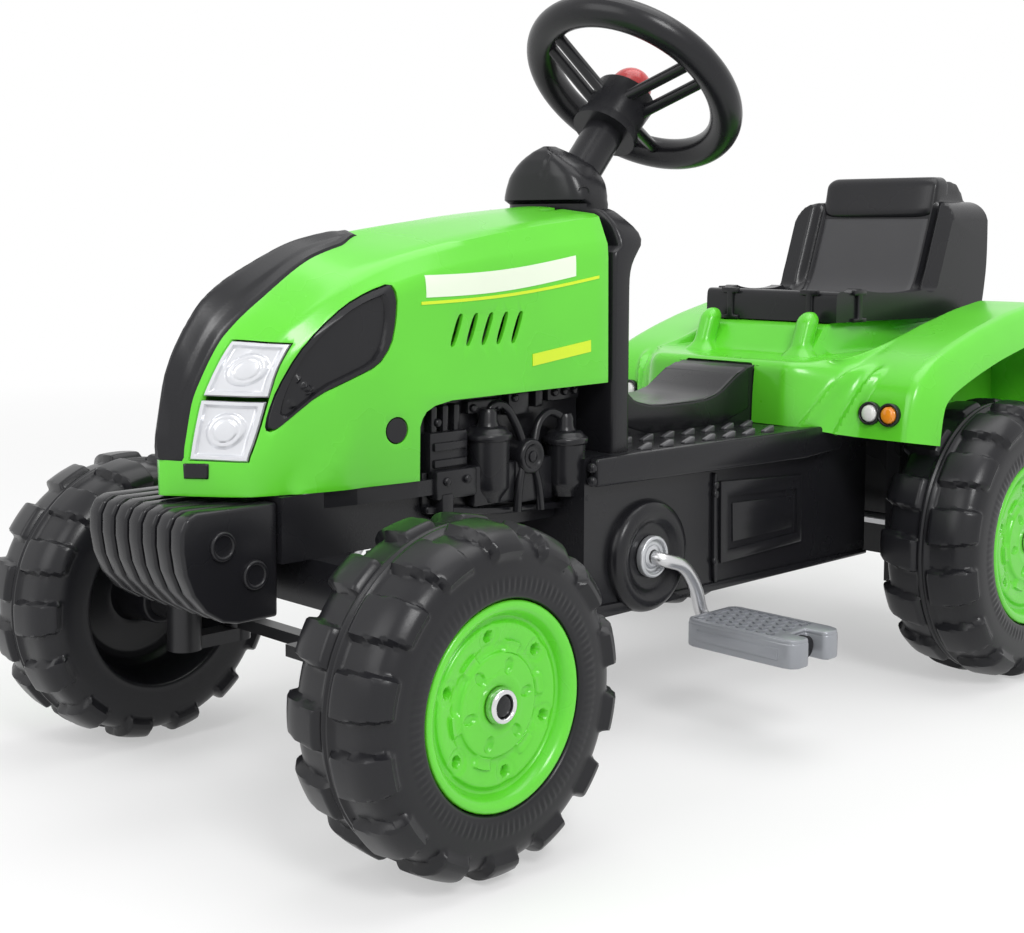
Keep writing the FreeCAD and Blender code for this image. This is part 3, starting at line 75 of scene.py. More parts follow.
def material(name, color, rough, grain=400.0, bump=0.02, spread=0.12, metal=0.0, coat=0.0, fine=0.06,
             shine=0.5):
    """Moulded surface: a little colour drift, a little roughness drift and a fine grain."""
    mat = bpy.data.materials.new(name)
    mat.use_nodes = True
    nodes = mat.node_tree.nodes
    shader = nodes["Principled BSDF"]
    set_inputs(shader, {"Metallic": metal, "Coat Weight": coat, "Specular IOR Level": shine,
                        "Coat Roughness": 0.12})
    place = nodes.new("ShaderNodeTexCoord")
    drift = nodes.new("ShaderNodeTexNoise")
    set_inputs(drift, {"Scale": 9.0, "Detail": 4.0})
    wire(place, "Object", drift, "Vector")
    ramp = nodes.new("ShaderNodeValToRGB")
    low = [c * (1.0 - spread) for c in color]
    high = [min(1.0, c * (1.0 + spread)) for c in color]
    for stop, position, shade in zip(ramp.color_ramp.elements, (0.3, 0.7), (low, high)):
        stop.position = position
        stop.color = (shade[0], shade[1], shade[2], 1.0)
    wire(drift, "Fac", ramp, "Fac")
    wire(ramp, "Color", shader, "Base Color")
    rub = nodes.new("ShaderNodeMapRange")
    set_inputs(rub, {"To Min": max(0.02, rough - fine), "To Max": min(1.0, rough + fine)})
    wire(drift, "Fac", rub, "Value")
    wire(rub, "Result", shader, "Roughness")
    speck = nodes.new("ShaderNodeTexNoise")
    set_inputs(speck, {"Scale": grain})
    wire(place, "Object", speck, "Vector")
    lift = nodes.new("ShaderNodeBump")
    set_inputs(lift, {"Strength": bump, "Distance": 0.001})
    wire(speck, "Fac", lift, "Height")
    wire(lift, "Normal", shader, "Normal")
    return mat


green = material("green_gloss", (0.11, 0.6, 0.025), 0.28, 500, 0.015, 0.06, coat=0.2)
black = material("black_satin", (0.011, 0.011, 0.013), 0.27, 600, 0.03, 0.12, shine=0.32)
tyre = material("tyre_black", (0.010, 0.010, 0.012), 0.3, 600, 0.03, 0.15, shine=0.32)
grey = material("pedal_grey", (0.27, 0.28, 0.305), 0.3, 600, 0.04, 0.06, metal=0.25)
silver = material("lamp_silver", (0.55, 0.56, 0.58), 0.22, 300, 0.02, 0.06, metal=0.6)
steel = material("zinc_steel", (0.62, 0.62, 0.63), 0.32, 900, 0.03, 0.08, metal=1.0)
red = material("horn_red", (0.55, 0.012, 0.015), 0.25, 400, 0.01, 0.08, coat=0.3)
white_lens = material("lens_white", (0.72, 0.72, 0.70), 0.15, 300, 0.01, 0.04, coat=0.5)
amber_lens = material("lens_amber", (0.85, 0.28, 0.015), 0.15, 300, 0.01, 0.06, coat=0.5)
SLOTS = {
    "green_plastic": green, "black_plastic": black, "tyre_plastic": tyre, "grey_plastic": grey,
    "silver_plastic": silver, "zinc_steel": steel, "red_plastic": red, "white_lens": white_lens,
    "amber_lens": amber_lens,
}


def dress(obj, mat):
    obj.data.materials.clear()
    obj.data.materials.append(mat)


dark_steel = material("black_coated_steel", (0.02, 0.02, 0.022), 0.35, 600, 0.03, 0.1, metal=0.3)
DARK_NODES = ("knuckle_left", "knuckle_right", "tie_rod")
for part in frame["record"]["subparts"]:
    for obj in bpy.data.objects:
        if obj.type == "MESH" and obj.name == part["node"]:
            dress(obj, dark_steel if obj.name in DARK_NODES else SLOTS[part["material_slot"]])

# modelling helpers


def smooth(low, high, value):
    """Eased from none at low to one at high."""
    part = min(1.0, max(0.0, (value - low) / (high - low)))
    return part * part * (3.0 - 2.0 * part)


def bump(value, low, high, soft):
    """One between low and high and none outside, with soft edges."""
    rise = smooth(low - soft / 2, low + soft / 2, value)
    return rise * (1.0 - smooth(high - soft / 2, high + soft / 2, value))


def mix(a, b, part):
    return a + (b - a) * part


def last_place(low, high, times, test):
    """Halves the way from low to high and keeps the last place where the test holds."""
    for step in range(times):
        middle = (low + high) / 2
        if test(middle):
            low = middle
        else:
            high = middle
    return low


def rounded(points, closed, times=2):
    """Cuts the corners of an outline so that it reads as moulded."""
    for step in range(times):
        result = []
        count = len(points)
        last = count if closed else count - 1
        if not closed:
            result.append(points[0])
        for index in range(last):
            a = points[index]
            b = points[(index + 1) % count]
            result.append(tuple(a[k] * 0.78 + b[k] * 0.22 for k in range(len(a))))
            result.append(tuple(a[k] * 0.22 + b[k] * 0.78 for k in range(len(a))))
        if not closed:
            result.append(points[-1])
        points = result
    return points


def pick(row, part):
    """The entry at a part of a row, from 0 to 1."""
    return row[int(round(part * (len(row) - 1)))]


def steps_between(a, b, count):
    """Even points on the way from a to b, without a."""
    return [tuple(a[k] + (b[k] - a[k]) * index / count for k in range(len(a)))
            for index in range(1, count + 1)]


def resampled(points, step):
    """Even points along an open outline."""
    result = [points[0]]
    for a, b in zip(points[:-1], points[1:]):
        result += steps_between(a, b, max(1, int(round(math.dist(a, b) / step))))
    return result


def square_to(a, b):
    """The direction square to the way from a to b."""
    far = math.dist(a, b)
    return (b[1] - a[1]) / far, -(b[0] - a[0]) / far


def square_ways(line):
    """The direction square to a drawn line at each of its points."""
    last = len(line) - 1
    return [square_to(line[max(0, i - 1)], line[min(last, i + 1)]) for i in range(last + 1)]


def sheet(name, cols, rows, spot):
    """A grid primitive whose points are moved to spot(a, b), both from 0 to 1."""
    bpy.ops.object.select_all(action="DESELECT")
    bpy.ops.mesh.primitive_grid_add(x_subdivisions=cols, y_subdivisions=rows, size=2)
    obj = bpy.context.object
    obj.name = name
    for vert in obj.data.vertices:
        vert.co = spot((vert.co.x + 1) / 2, (vert.co.y + 1) / 2)
    return obj


def only(obj):
    """Selects one object alone and makes it the active one."""
    bpy.ops.object.select_all(action="DESELECT")
    obj.select_set(True)
    bpy.context.view_layer.objects.active = obj


def tidy_mesh(obj, merge, angle):
    """Merges close points, turns the faces outwards and shades them smooth below an angle."""
    only(obj)
    bpy.ops.object.mode_set(mode="EDIT")
    bpy.ops.mesh.select_all(action="SELECT")
    bpy.ops.mesh.remove_doubles(threshold=merge)
    bpy.ops.mesh.normals_make_consistent(inside=False)
    bpy.ops.object.mode_set(mode="OBJECT")
    bpy.ops.object.shade_smooth_by_angle(angle=math.radians(angle))


def skin(name, cols, rows, spot, merge, angle):
    """A sheet with its close points merged, shaded smooth below an angle."""
    obj = sheet(name, cols, rows, spot)
    tidy_mesh(obj, merge, angle)
    return obj


def finish_piece(obj, mat, body, slot, nodes=()):
    dress(obj, mat)
    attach(obj, body)
    if nodes:
        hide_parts(*nodes)
    return obj


# wheels, with depth counted inwards from the outer face
LUGS = 14
WIDE = 78.0
WHEEL_FACE = 206.0
TREAD_DEEP = 7.0
LUG_RISE = 5.7
MID_LINE_RISE = 3.2
MID_BAND_RISE = 1.4
SIDE_MARK_RISE = 0.5


def round_axle(x, y, z, radius, angle):
    """A point on a circle about the Y axis: the centre in metres, the radius in millimetres."""
    return Vector((x + radius * math.cos(angle) / 1000, y, z + radius * math.sin(angle) / 1000))


def tyre_outline(tyre_r, rim_r):
    base = tyre_r - TREAD_DEEP
    return [
        (5.4, 16.5), (rim_r - 0.2, 16.5), (rim_r - 0.2, 3.0), (rim_r + 1.5, 0.6), (rim_r + 5, 0.2),
        (base - 16, 0.6), (base - 8, 3.0), (base - 2.5, 8.0), (base, 15.0), (base + 1.0, 28.0),
        (base + 1.2, 39.0), (base + 1.0, 50.0), (base, 63.0), (base - 2.5, 70.0), (base - 8, 75.0),
        (base - 16, 77.4), (rim_r + 2, 77.8), (rim_r - 1, 75.0), (rim_r - 7, 40.0), (24.0, 38.0),
        (18.5, 40.0), (16.5, 74.0), (15.0, 76.0), (5.4, 76.0), (5.4, 16.5),
    ]


def tyre_piece(name, node, body, x, tyre_r, rim_r, sign):
    outline = resampled(rounded(tyre_outline(tyre_r, rim_r), False, 2), 1.5)
    base = tyre_r - TREAD_DEEP
    turn = 2 * math.pi / LUGS
    ways = square_ways(outline)

    def spot(a, b):
        radius, depth = pick(outline, b)
        lift = 0.0
        if radius > base - 14 and depth < 77.7:
            across = depth / WIDE
            if across < 0.5:
                phase = (a + 0.22 * (across - 0.25)) % 1.0
                arch = 1.0 - ((across - 0.26) / 0.24) ** 2
                block = bump(phase, 0.22 - 0.05 * arch, 0.76, 0.07) * (1.0 - smooth(0.42, 0.46, across))
            else:
                phase = (a + 0.5 - 0.22 * (across - 0.75)) % 1.0
                arch = 1.0 - ((across - 0.74) / 0.24) ** 2
                block = bump(phase, 0.25 - 0.05 * arch, 0.74, 0.07) * smooth(0.54, 0.58, across)
            block *= smooth(base - 13, base - 8, radius)
            lift = LUG_RISE * block
            for line in (0.475, 0.525):
                lift = max(lift, MID_LINE_RISE * bump(across, line - 0.012, line + 0.012, 0.02))
            lift = max(lift, MID_BAND_RISE * bump(across, 0.44, 0.56, 0.03))
        elif depth < 1.2 and rim_r + 3 < radius < rim_r + 14:
            mark = bump((a * 7) % 1.0, 0.25, 0.75, 0.3)
            lift = SIDE_MARK_RISE * mark * bump(radius, rim_r + 5, rim_r + 12, 2.0)
        way = pick(ways, b)
        radius += lift * way[0]
        depth += lift * way[1]
        return round_axle(x, sign * (WHEEL_FACE - depth) / 1000, tyre_r / 1000, radius, a * turn)

    obj = sheet(name, 27, len(outline) - 1, spot)
    obj.data.name = name
    bpy.ops.object.mode_set(mode="EDIT")
    bpy.ops.mesh.select_all(action="SELECT")
    bpy.ops.mesh.spin(steps=LUGS - 1, dupli=True, angle=-turn * (LUGS - 1), center=(x, 0, tyre_r / 1000),
                      axis=(0, 1, 0))
    bpy.ops.object.mode_set(mode="OBJECT")
    tidy_mesh(obj, 0.00005, 40)
    return finish_piece(obj, tyre, body, "tyre_plastic", [node])


def disc_piece(name, node, body, x, tyre_r, rim_r, sign):
    edge = rim_r - 0.4
    k = edge / 58.6
    lines = [
        (5.4, 9.0), (9.0, 8.8), (10.5, 7.2), (16.5 * k, 6.0), (18 * k, 6.4), (26 * k, 6.6),
        (28.5 * k, 6.6), (30 * k, 9.2), (33 * k, 9.6), (36 * k, 8.2), (43 * k, 7.0), (45 * k, 7.2),
        (46.5 * k, 9.4), (49 * k, 9.8), (50.5 * k, 6.0), (52 * k, 3.2), (54.5 * k, 1.4), (57 * k, 1.2),
        (edge, 2.6), (edge, 15.6), (5.4, 15.6), (5.4, 9.0),
    ]
    outline = resampled(rounded(lines, False, 1), 0.9)

    def spot(a, b):
        radius, depth = pick(outline, b)
        angle = a * 2 * math.pi
        if depth < 12:
            for step in range(6):
                away = angle - math.radians(60 * step + 20)
                far = math.hypot(radius * math.cos(away) - 39.5 * k, radius * math.sin(away))
                depth += 4.5 * (1.0 - smooth(2.2, 3.4, far))
                depth += 0.9 * (1.0 - smooth(6.2, 7.8, far))
                away = angle - math.radians(60 * step + 50)
                far = math.hypot((radius * math.cos(away) - 22 * k) / 1.5, radius * math.sin(away))
                depth += 2.0 * (1.0 - smooth(2.2, 3.4, far))
                if 29 * k < radius < 36 * k:
                    wide = abs((math.degrees(away) + 180) % 360 - 180)
                    depth -= 2.2 * (1.0 - smooth(8, 14, wide)) * bump(radius, 29 * k, 36 * k, 2)
        return round_axle(x, sign * (WHEEL_FACE - depth) / 1000, tyre_r / 1000, radius, angle)

    obj = skin(name, 252, len(outline) - 1, spot, 0.00005, 50)
    return finish_piece(obj, green, body, "green_plastic", [node])


def ring_piece(name, x, y, z, sign, lines, mat, body, slot, nodes=()):
    """A turned piece about the Y axis; lines are radius and depth in millimetres."""
    outline = resampled(rounded(lines, False, 1), 0.8)

    def spot(a, b):
        radius, depth = pick(outline, b)
        return round_axle(x, y - sign * depth / 1000, z, radius, a * 2 * math.pi)

    obj = skin(name, 64, len(outline) - 1, spot, 0.00005, 40)
    return finish_piece(obj, mat, body, slot, nodes)


CAP_RING = [(6.0, 7.4), (10.2, 7.4), (10.6, 5.0), (9.4, 1.6), (7.6, 1.0), (6.6, 2.2), (6.0, 7.4)]
CAP_CORE = [(0.0, 7.3), (6.3, 7.3), (6.3, 3.6), (4.6, 2.6), (0.0, 2.2)]
chrome = material("cap_chrome", (0.72, 0.72, 0.73), 0.14, 500, 0.01, 0.05, metal=1.0)
for end, axle, tyre_r, rim_r in (("front", FRONT_AXLE_X, 100.0, 59.0), ("rear", REAR_AXLE_X, 111.0, 66.0)):
    x = axle / 1000
    for side, sign in SIDES:
        stem = end + "_" + side
        body = "rear_axle" if stem == "rear_right" else stem + "_wheel"
        cap_body = "knuckle_" + side if end == "front" else "rear_axle"
        cap_place = (x, sign * WHEEL_FACE / 1000, tyre_r / 1000, sign)
        tyre_piece(stem + "_tyre_look", stem + "_wheel", body, x, tyre_r, rim_r, sign)
        disc_piece(stem + "_disc_look", stem + "_disc", body, x, tyre_r, rim_r, sign)
        ring_piece(stem + "_cap_ring", *cap_place, CAP_RING, chrome, cap_body, "zinc_steel",
                   [stem + "_cap"])
        ring_piece(stem + "_cap_core", *cap_place, CAP_CORE, black, cap_body, "black_plastic")


# more modelling helpers


def at(x, y, z):
    """A point in metres from millimetres, with X counted from the front axle."""
    return Vector(((x + FRONT_AXLE_X) / 1000, y / 1000, z / 1000))


def use_modifier(obj, kind, **values):
    only(obj)
    mod = obj.modifiers.new("step", kind)
    for key, value in values.items():
        setattr(mod, key, value)
    bpy.ops.object.modifier_apply(modifier=mod.name)
    return obj


def plate(name, outline, start, end, plane, bevel=0.0, steps=2):
    """A drawn outline pushed from start to end, in millimetres from the front axle."""
    def corner(a, b, c):
        if plane == "xz":
            return at(a, c, b)
        if plane == "xy":
            return at(a, b, c)
        return at(c, a, b)
    bpy.ops.object.select_all(action="DESELECT")
    bpy.ops.mesh.primitive_circle_add(vertices=len(outline), radius=1, fill_type="NGON")
    obj = bpy.context.object
    obj.name = name
    for vert, (a, b) in zip(obj.data.vertices, outline):
        vert.co = corner(a, b, start)
    way = corner(0, 0, end) - corner(0, 0, start)
    bpy.ops.object.mode_set(mode="EDIT")
    bpy.ops.mesh.select_all(action="SELECT")
    bpy.ops.mesh.extrude_region_move(TRANSFORM_OT_translate={"value": way})
    bpy.ops.mesh.select_all(action="SELECT")
    bpy.ops.mesh.normals_make_consistent(inside=False)
    bpy.ops.object.mode_set(mode="OBJECT")
    if bevel:
        use_modifier(obj, "BEVEL", width=bevel / 1000, segments=steps, limit_method="ANGLE",
                     angle_limit=math.radians(30))
    return obj


def cut_with(obj, tools):
    for tool in tools:
        use_modifier(obj, "BOOLEAN", operation="DIFFERENCE", object=tool, solver="EXACT")
    bpy.ops.object.select_all(action="DESELECT")
    for tool in tools:
        tool.select_set(True)
    bpy.ops.object.delete()
    return obj


def joined(name, parts):
    bpy.ops.object.select_all(action="DESELECT")
    for part in parts:
        part.select_set(True)
    bpy.context.view_layer.objects.active = parts[0]
    bpy.ops.object.join()
    parts[0].name = name
    return parts[0]


def smooth_by(obj, angle):
    only(obj)
    bpy.ops.object.shade_smooth_by_angle(angle=math.radians(angle))
    return obj


def soft_plate(name, outline, start, end, plane, bevel, steps=2, angle=40):
    """A plate with rounded edges, shaded smooth below an angle."""
    return smooth_by(plate(name, outline, start, end, plane, bevel, steps), angle)


def side_plate(sign, name, outline, y0, y1, bevel, steps=2, angle=40):
    """A soft plate on the left or right side."""
    return soft_plate(name, outline, y0 * sign, y1 * sign, "xz", bevel, steps, angle)


def thicken(obj, merge, angle, thickness, offset=-1.0):
    """Gives a sheet its wall, in metres."""
    tidy_mesh(obj, merge, angle)
    use_modifier(obj, "SOLIDIFY", thickness=thickness, offset=offset)


def to_right(obj):
    """Mirrors a left piece to the right side."""
    for vert in obj.data.vertices:
        vert.co.y = -vert.co.y
    obj.data.flip_normals()


def turned(name, foot, way, lines, cols=48, angle=40):
    """A turned piece: lines are radius and height along way, from the foot, in millimetres."""
    way = Vector(way).normalized()
    side = way.orthogonal().normalized()
    other = way.cross(side)
    outline = rounded(lines, False, 1)

    def spot(a, b):
        radius, high = pick(outline, b)
        turn = a * 2 * math.pi
        around = side * math.cos(turn) + other * math.sin(turn)
        return foot + around * (radius / 1000) + way * (high / 1000)

    return skin(name, cols, len(outline) - 1, spot, 0.00003, angle)


def side_turned(sign, name, x, y, z, lines, cols):
    """A turned piece that stands out on the left or right side."""
    return turned(name, at(x, y * sign, z), (0, sign, 0), lines, cols)


def tube(name, path, radius, cols=16, angle=50):
    """A round bar along a path of points in metres, closed at both ends."""
    path = [Vector(p) for p in path]
    frames = []
    side = None
    for index, point in enumerate(path):
        way = (path[min(index + 1, len(path) - 1)] - path[max(index - 1, 0)]).normalized()
        if side is None:
            side = way.orthogonal().normalized()
        side = (side - way * side.dot(way)).normalized()
        frames.append((point, side.copy(), way.cross(side)))
    rings = [(frames[0], 0.0)] + [(ring, 1.0) for ring in frames] + [(frames[-1], 0.0)]

    def spot(a, b):
        ring, part = pick(rings, b)
        turn = a * 2 * math.pi
        point, side, other = ring
        return point + (side * math.cos(turn) + other * math.sin(turn)) * (radius / 1000 * part)

    return skin(name, cols, len(rings) - 1, spot, 0.00003, angle)


# hood
HOOD = [
    (-231, [(75, 200.6), (75.5, 250), (74.5, 347), (65, 369), (16, 374.5), (0, 375)]),
    (-150, [(70, 200.6), (70.5, 250), (69, 340), (59, 359), (16, 367), (0, 368)]),
    (-63, [(65, 200.6), (65.5, 250), (63.5, 326), (52, 343), (15, 353), (0, 358)]),
    (-20, [(60.5, 200.6), (60.5, 250), (59, 311), (47, 327), (15, 342), (0, 351)]),
    (20, [(52.5, 200.6), (52, 250), (50, 286), (42, 302), (15, 318), (0, 336)]),
    (50, [(43.5, 200.6), (43, 222), (36, 258), (27, 277), (15, 295), (0, 319)]),
    (70, [(23.5, 200.6), (23, 222), (19, 243), (16.5, 254), (14, 262), (0, 295)]),
    (80, [(10.5, 200.6), (12, 222), (12, 228), (11, 233), (10, 239), (0, 274)]),
    (87, [(1.6, 200.6), (2, 222), (2, 226), (1.8, 229), (1.5, 232), (0, 237)]),
]


def eased(xs, vs, place):
    """Smooth value between stations with no overshoot."""
    count = len(xs)
    slopes = []
    for index in range(count):
        if index in (0, count - 1):
            near = 1 if index == 0 else count - 2
            slopes.append((vs[near] - vs[index]) / (xs[near] - xs[index]))
            continue
        before = (vs[index] - vs[index - 1]) / (xs[index] - xs[index - 1])
        after = (vs[index + 1] - vs[index]) / (xs[index + 1] - xs[index])
        slopes.append(2 * before * after / (before + after) if before * after > 0 else 0.0)
    index = 0
    while index < count - 2 and place > xs[index + 1]:
        index += 1
    span = xs[index + 1] - xs[index]
    t = min(1.0, max(0.0, (place - xs[index]) / span))
    return (vs[index] * (2 * t ** 3 - 3 * t ** 2 + 1) + slopes[index] * span * (t ** 3 - 2 * t ** 2 + t)
            + vs[index + 1] * (3 * t ** 2 - 2 * t ** 3) + slopes[index + 1] * span * (t ** 3 - t ** 2))


HOOD_XS = [row[0] for row in HOOD]


@lru_cache(maxsize=None)
def hood_section(x):
    """The hood's outline across the tractor at a place along it, from the left foot to the right."""
    half = []
    for step in range(6):
        y = eased(HOOD_XS, [row[1][step][0] for row in HOOD], x)
        z = eased(HOOD_XS, [row[1][step][1] for row in HOOD], x)
        half.append((y, z))
    whole = half + [(-y, z) for y, z in reversed(half[:-1])]
    fine = [whole[0]]
    for a, b in zip(whole[:-1], whole[1:]):
        for part in (1 / 3, 2 / 3, 1.0):
            fine.append((mix(a[0], b[0], part), mix(a[1], b[1], part)))
    return rounded(fine, False, 1)


def half_line(x):
    line = hood_section(x)
    return line[:len(line) // 2 + 1]


HOOD_BACK = -231.0
HOOD_LAST = 317.999
HALF_LINES = [half_line(HOOD_BACK + 0.5 * step) for step in range(637)]


def line_half(line, z):
    """Half width of one outline at a height."""
    if z >= line[-1][1]:
        return 0.0
    for a, b in zip(line[:-1], line[1:]):
        if a[1] <= z <= b[1] and b[1] > a[1]:
            return a[0] + (b[0] - a[0]) * (z - a[1]) / (b[1] - a[1])
    return line[0][0]


def hood_half(x, z):
    """Half width of the hood at a place and height, nothing above the crest."""
    place = min(HOOD_LAST, max(0.0, x - HOOD_BACK)) * 2
    step = int(place)
    part = place - step
    return line_half(HALF_LINES[step], z) * (1 - part) + line_half(HALF_LINES[step + 1], z) * part


def nose_x(y, z):
    """How far forward the nose reaches at a half width and height."""
    return last_place(-60.0, 87.0, 22, lambda x: hood_half(x, z) > abs(y))


def hood_spot(x, part):
    """A point of the hood's outline, with the crease on the cheeks of the nose."""
    y, z = pick(hood_section(x), part)
    crease = 252 - (x + 23) * 0.957
    if -25 < x < 60 and z < crease:
        push = 2.4 * smooth(0, 9, crease - z) * smooth(-25, -5, x) * (1 - smooth(30, 60, x))
        y += push if y > 0 else -push
    return y, z


hood_places = [-231 + 168 * i / 14 for i in range(15)] + [-63 + 83 * i / 16 for i in range(1, 17)]
hood_places += [20 + 50 * i / 18 for i in range(1, 19)] + [70 + 17 * i / 12 for i in range(1, 13)]


def hood_point(a, b):
    x = pick(hood_places, a)
    y, z = hood_spot(x, b)
    return at(x, 0.0 if x > 86.9 else y, z)


hood = sheet("hood_look", len(hood_places) - 1, len(hood_section(0)) - 1, hood_point)
thicken(hood, 0.00005, 30, 0.003)
WINDOW = [(-45, 326), (-48, 318), (-47, 303), (-43, 287), (-33, 275), (-12, 267), (9, 259), (26, 247),
          (38, 238), (42, 240), (40, 249), (34, 264), (22, 284), (7, 299), (-12, 313), (-29, 321)]
LAMP = [(15.5, 222), (42, 221), (44, 258), (46.5, 291), (18.5, 293), (16.5, 259)]
tools = []
small = []
for sign in (1, -1):
    tools.append(plate("tool", rounded(WINDOW, True, 1), 30 * sign, 120 * sign, "xz"))
    tools.append(plate("tool", [(y * sign, z) for y, z in LAMP], 8, 120, "yz"))
    for step in range(5):
        x = -93 - 13 * step
        slot = [(x, 284), (x + 5, 284), (x - 3, 305), (x - 8, 305)]
        small.append(plate("tool", rounded(slot, True, 2), 55 * sign, 90 * sign, "xz"))
    cap = [(-46 + 8.6 * math.cos(math.radians(15 * i)),
            234 + 8.6 * math.sin(math.radians(15 * i))) for i in range(24)]
    small.append(plate("tool", cap, 50 * sign, 90 * sign, "xz"))
arch = [(-64, 190), (-64, 235), (-66, 240), (-69, 244), (-76, 247.5), (-90, 250), (-240, 253), (-240, 190)]
tools.append(plate("tool", arch, -120, 120, "xz"))
rear_cut = [(-245, 360), (-215, 360), (-215, 390), (-245, 390)]
for sign in (1, -1):
    small.append(plate("tool", rear_cut, 24 * sign, 31.4 * sign, "xz"))
cut_with(hood, tools + [joined("tool", small)])
use_modifier(hood, "BEVEL", width=0.0006, segments=2, limit_method="ANGLE", angle_limit=math.radians(50))
smooth_by(hood, 30)
finish_piece(hood, green, "hood", "green_plastic", ["hood"])

# dark strip over the nose
PROW = [(87.6, 222), (87.2, 232), (86, 241), (84.2, 259), (79.8, 275), (72, 292), (60.2, 310), (44, 324),
        (20, 336), (-8, 347.4), (-35, 354.6), (-60, 357.6)]
prow = resampled(rounded(PROW, False, 1), 3.0)
prow_ways = square_ways(prow)


def strip_point(a, b):
    x, z = pick(prow, a)
    nx, nz = pick(prow_ways, a)
    part = 2 * b - 1
    wide = 13.6 + 2.0 * smooth(250, 330, z) - 7 * smooth(0.9, 1.0, a)
    y = wide * part
    low = last_place(0.0, 60.0, 18, lambda far: hood_half(x - far * nx, z - far * nz) <= abs(y))
    lift = 1.5 * min(1.0, (1 - abs(part)) / 0.06) * smooth(0.0, 0.015, a) * (1 - smooth(0.985, 1.0, a))
    lift += 0.9 * bump(abs(part), 0.0, 0.62, 0.12) * smooth(0.02, 0.06, a) * (1 - smooth(0.93, 0.97, a))
    return at(x - low * nx + lift * nx, y, z - low * nz + lift * nz)


strip = sheet("grille_strip_look", len(prow) - 1, 34, strip_point)
thicken(strip, 0.00002, 35, 0.002)
smooth_by(strip, 35)
finish_piece(strip, black, "hood", "black_plastic", ["grille_strip"])

# headlights, two cells on each side
CELLS = [[(16.2, 222.6), (41.5, 221.6), (43.2, 256.6), (17.0, 257.8)],
         [(17.2, 260.2), (43.8, 259.2), (45.8, 290.4), (19.2, 292.2)]]


def lamp_point(corner, a, b):
    low = [mix(corner[0][k], corner[1][k], a) for k in (0, 1)]
    top = [mix(corner[3][k], corner[2][k], a) for k in (0, 1)]
    y, z = [mix(low[k], top[k], b) for k in (0, 1)]
    x = nose_x(y, z)
    edge = min(a, 1 - a, b, 1 - b)
    lift = 0.6 - 2.6 * smooth(0.07, 0.12, edge) - 2.0 * (1 - smooth(0.0, 0.012, edge))
    far = math.hypot((a - 0.52) * 1.0, (b - 0.5) * 1.1)
    if far < 0.33:
        dome = 3.4 * math.sqrt(max(0.0, 1 - (far / 0.33) ** 2))
        lift = max(lift, -2.0 + dome - 0.7 * bump(far, 0.2, 0.24, 0.04))
    return at(x + lift * 0.68, y + lift * 0.7, z + lift * 0.2)


lamp_white = material("lamp_cell", (0.66, 0.67, 0.70), 0.2, 300, 0.01, 0.05, metal=0.35, coat=0.4)
for side in ("left", "right"):
    cells = []
    for corner in CELLS:
        cell = sheet("headlight_cell", 56, 56, lambda a, b: lamp_point(corner, a, b))
        thicken(cell, 0.00002, 40, 0.002)
        cells.append(smooth_by(cell, 40))
    lamp = joined("headlight_%s_look" % side, cells)
    if side == "right":
        to_right(lamp)
    finish_piece(lamp, lamp_white, "hood", "silver_plastic", ["headlight_" + side])

# intakes in the hood sides
inlet = resampled(rounded(WINDOW + WINDOW[:1], False, 1), 2.5)
inlet_mid = (-10.0, 286.0)


def intake_point(a, b):
    px, pz = pick(inlet, a)
    part = b * 0.985
    x = mix(inlet_mid[0], px, part)
    z = mix(inlet_mid[1], pz, part)
    y = hood_half(x, z)
    sink = 2.8 - 3.2 * smooth(0.80, 0.84, b) * (1 - smooth(0.975, 1.0, b))
    run = (x + 45) * 0.72 + (z - 238) * 0.69
    across = -(x + 45) * 0.69 + (z - 238) * 0.72
    ridge = 0.0
    for line in (6, 20, 34):
        ridge = max(ridge, bump(across, line - 58, line - 55, 1.6))
    phase = run / 11.0 % 1.0
    dash = smooth(0.0, 0.25, phase) * (1 - smooth(0.7, 0.9, phase))
    sink -= 2.4 * ridge * dash * (1 - smooth(0.66, 0.76, b))
    return at(x, y - sink, z)


for side in ("left", "right"):
    panel = sheet("side_intake_%s_look" % side, len(inlet) - 1, 40, intake_point)
    thicken(panel, 0.00002, 35, 0.0015)
    if side == "right":
        to_right(panel)
    smooth_by(panel, 35)
    finish_piece(panel, black, "hood", "black_plastic", ["side_intake_" + side])

# small dark plugs under the headlights
for side, sign in SIDES:
    def plug_point(a, b):
        y = 13.5 + 11 * a
        z = 211.5 + 8.5 * b
        lift = 1.0 * smooth(0, 0.08, min(a, 1 - a, b, 1 - b))
        return at(nose_x(y, z) + lift * 0.7, sign * (y + lift * 0.7), z)
    plug = sheet("nose_plug_" + side, 16, 12, plug_point)
    thicken(plug, 0.00001, 35, 0.001, 0.0)
    tidy_mesh(plug, 0.00001, 35)
    finish_piece(plug, black, "hood", "black_plastic")

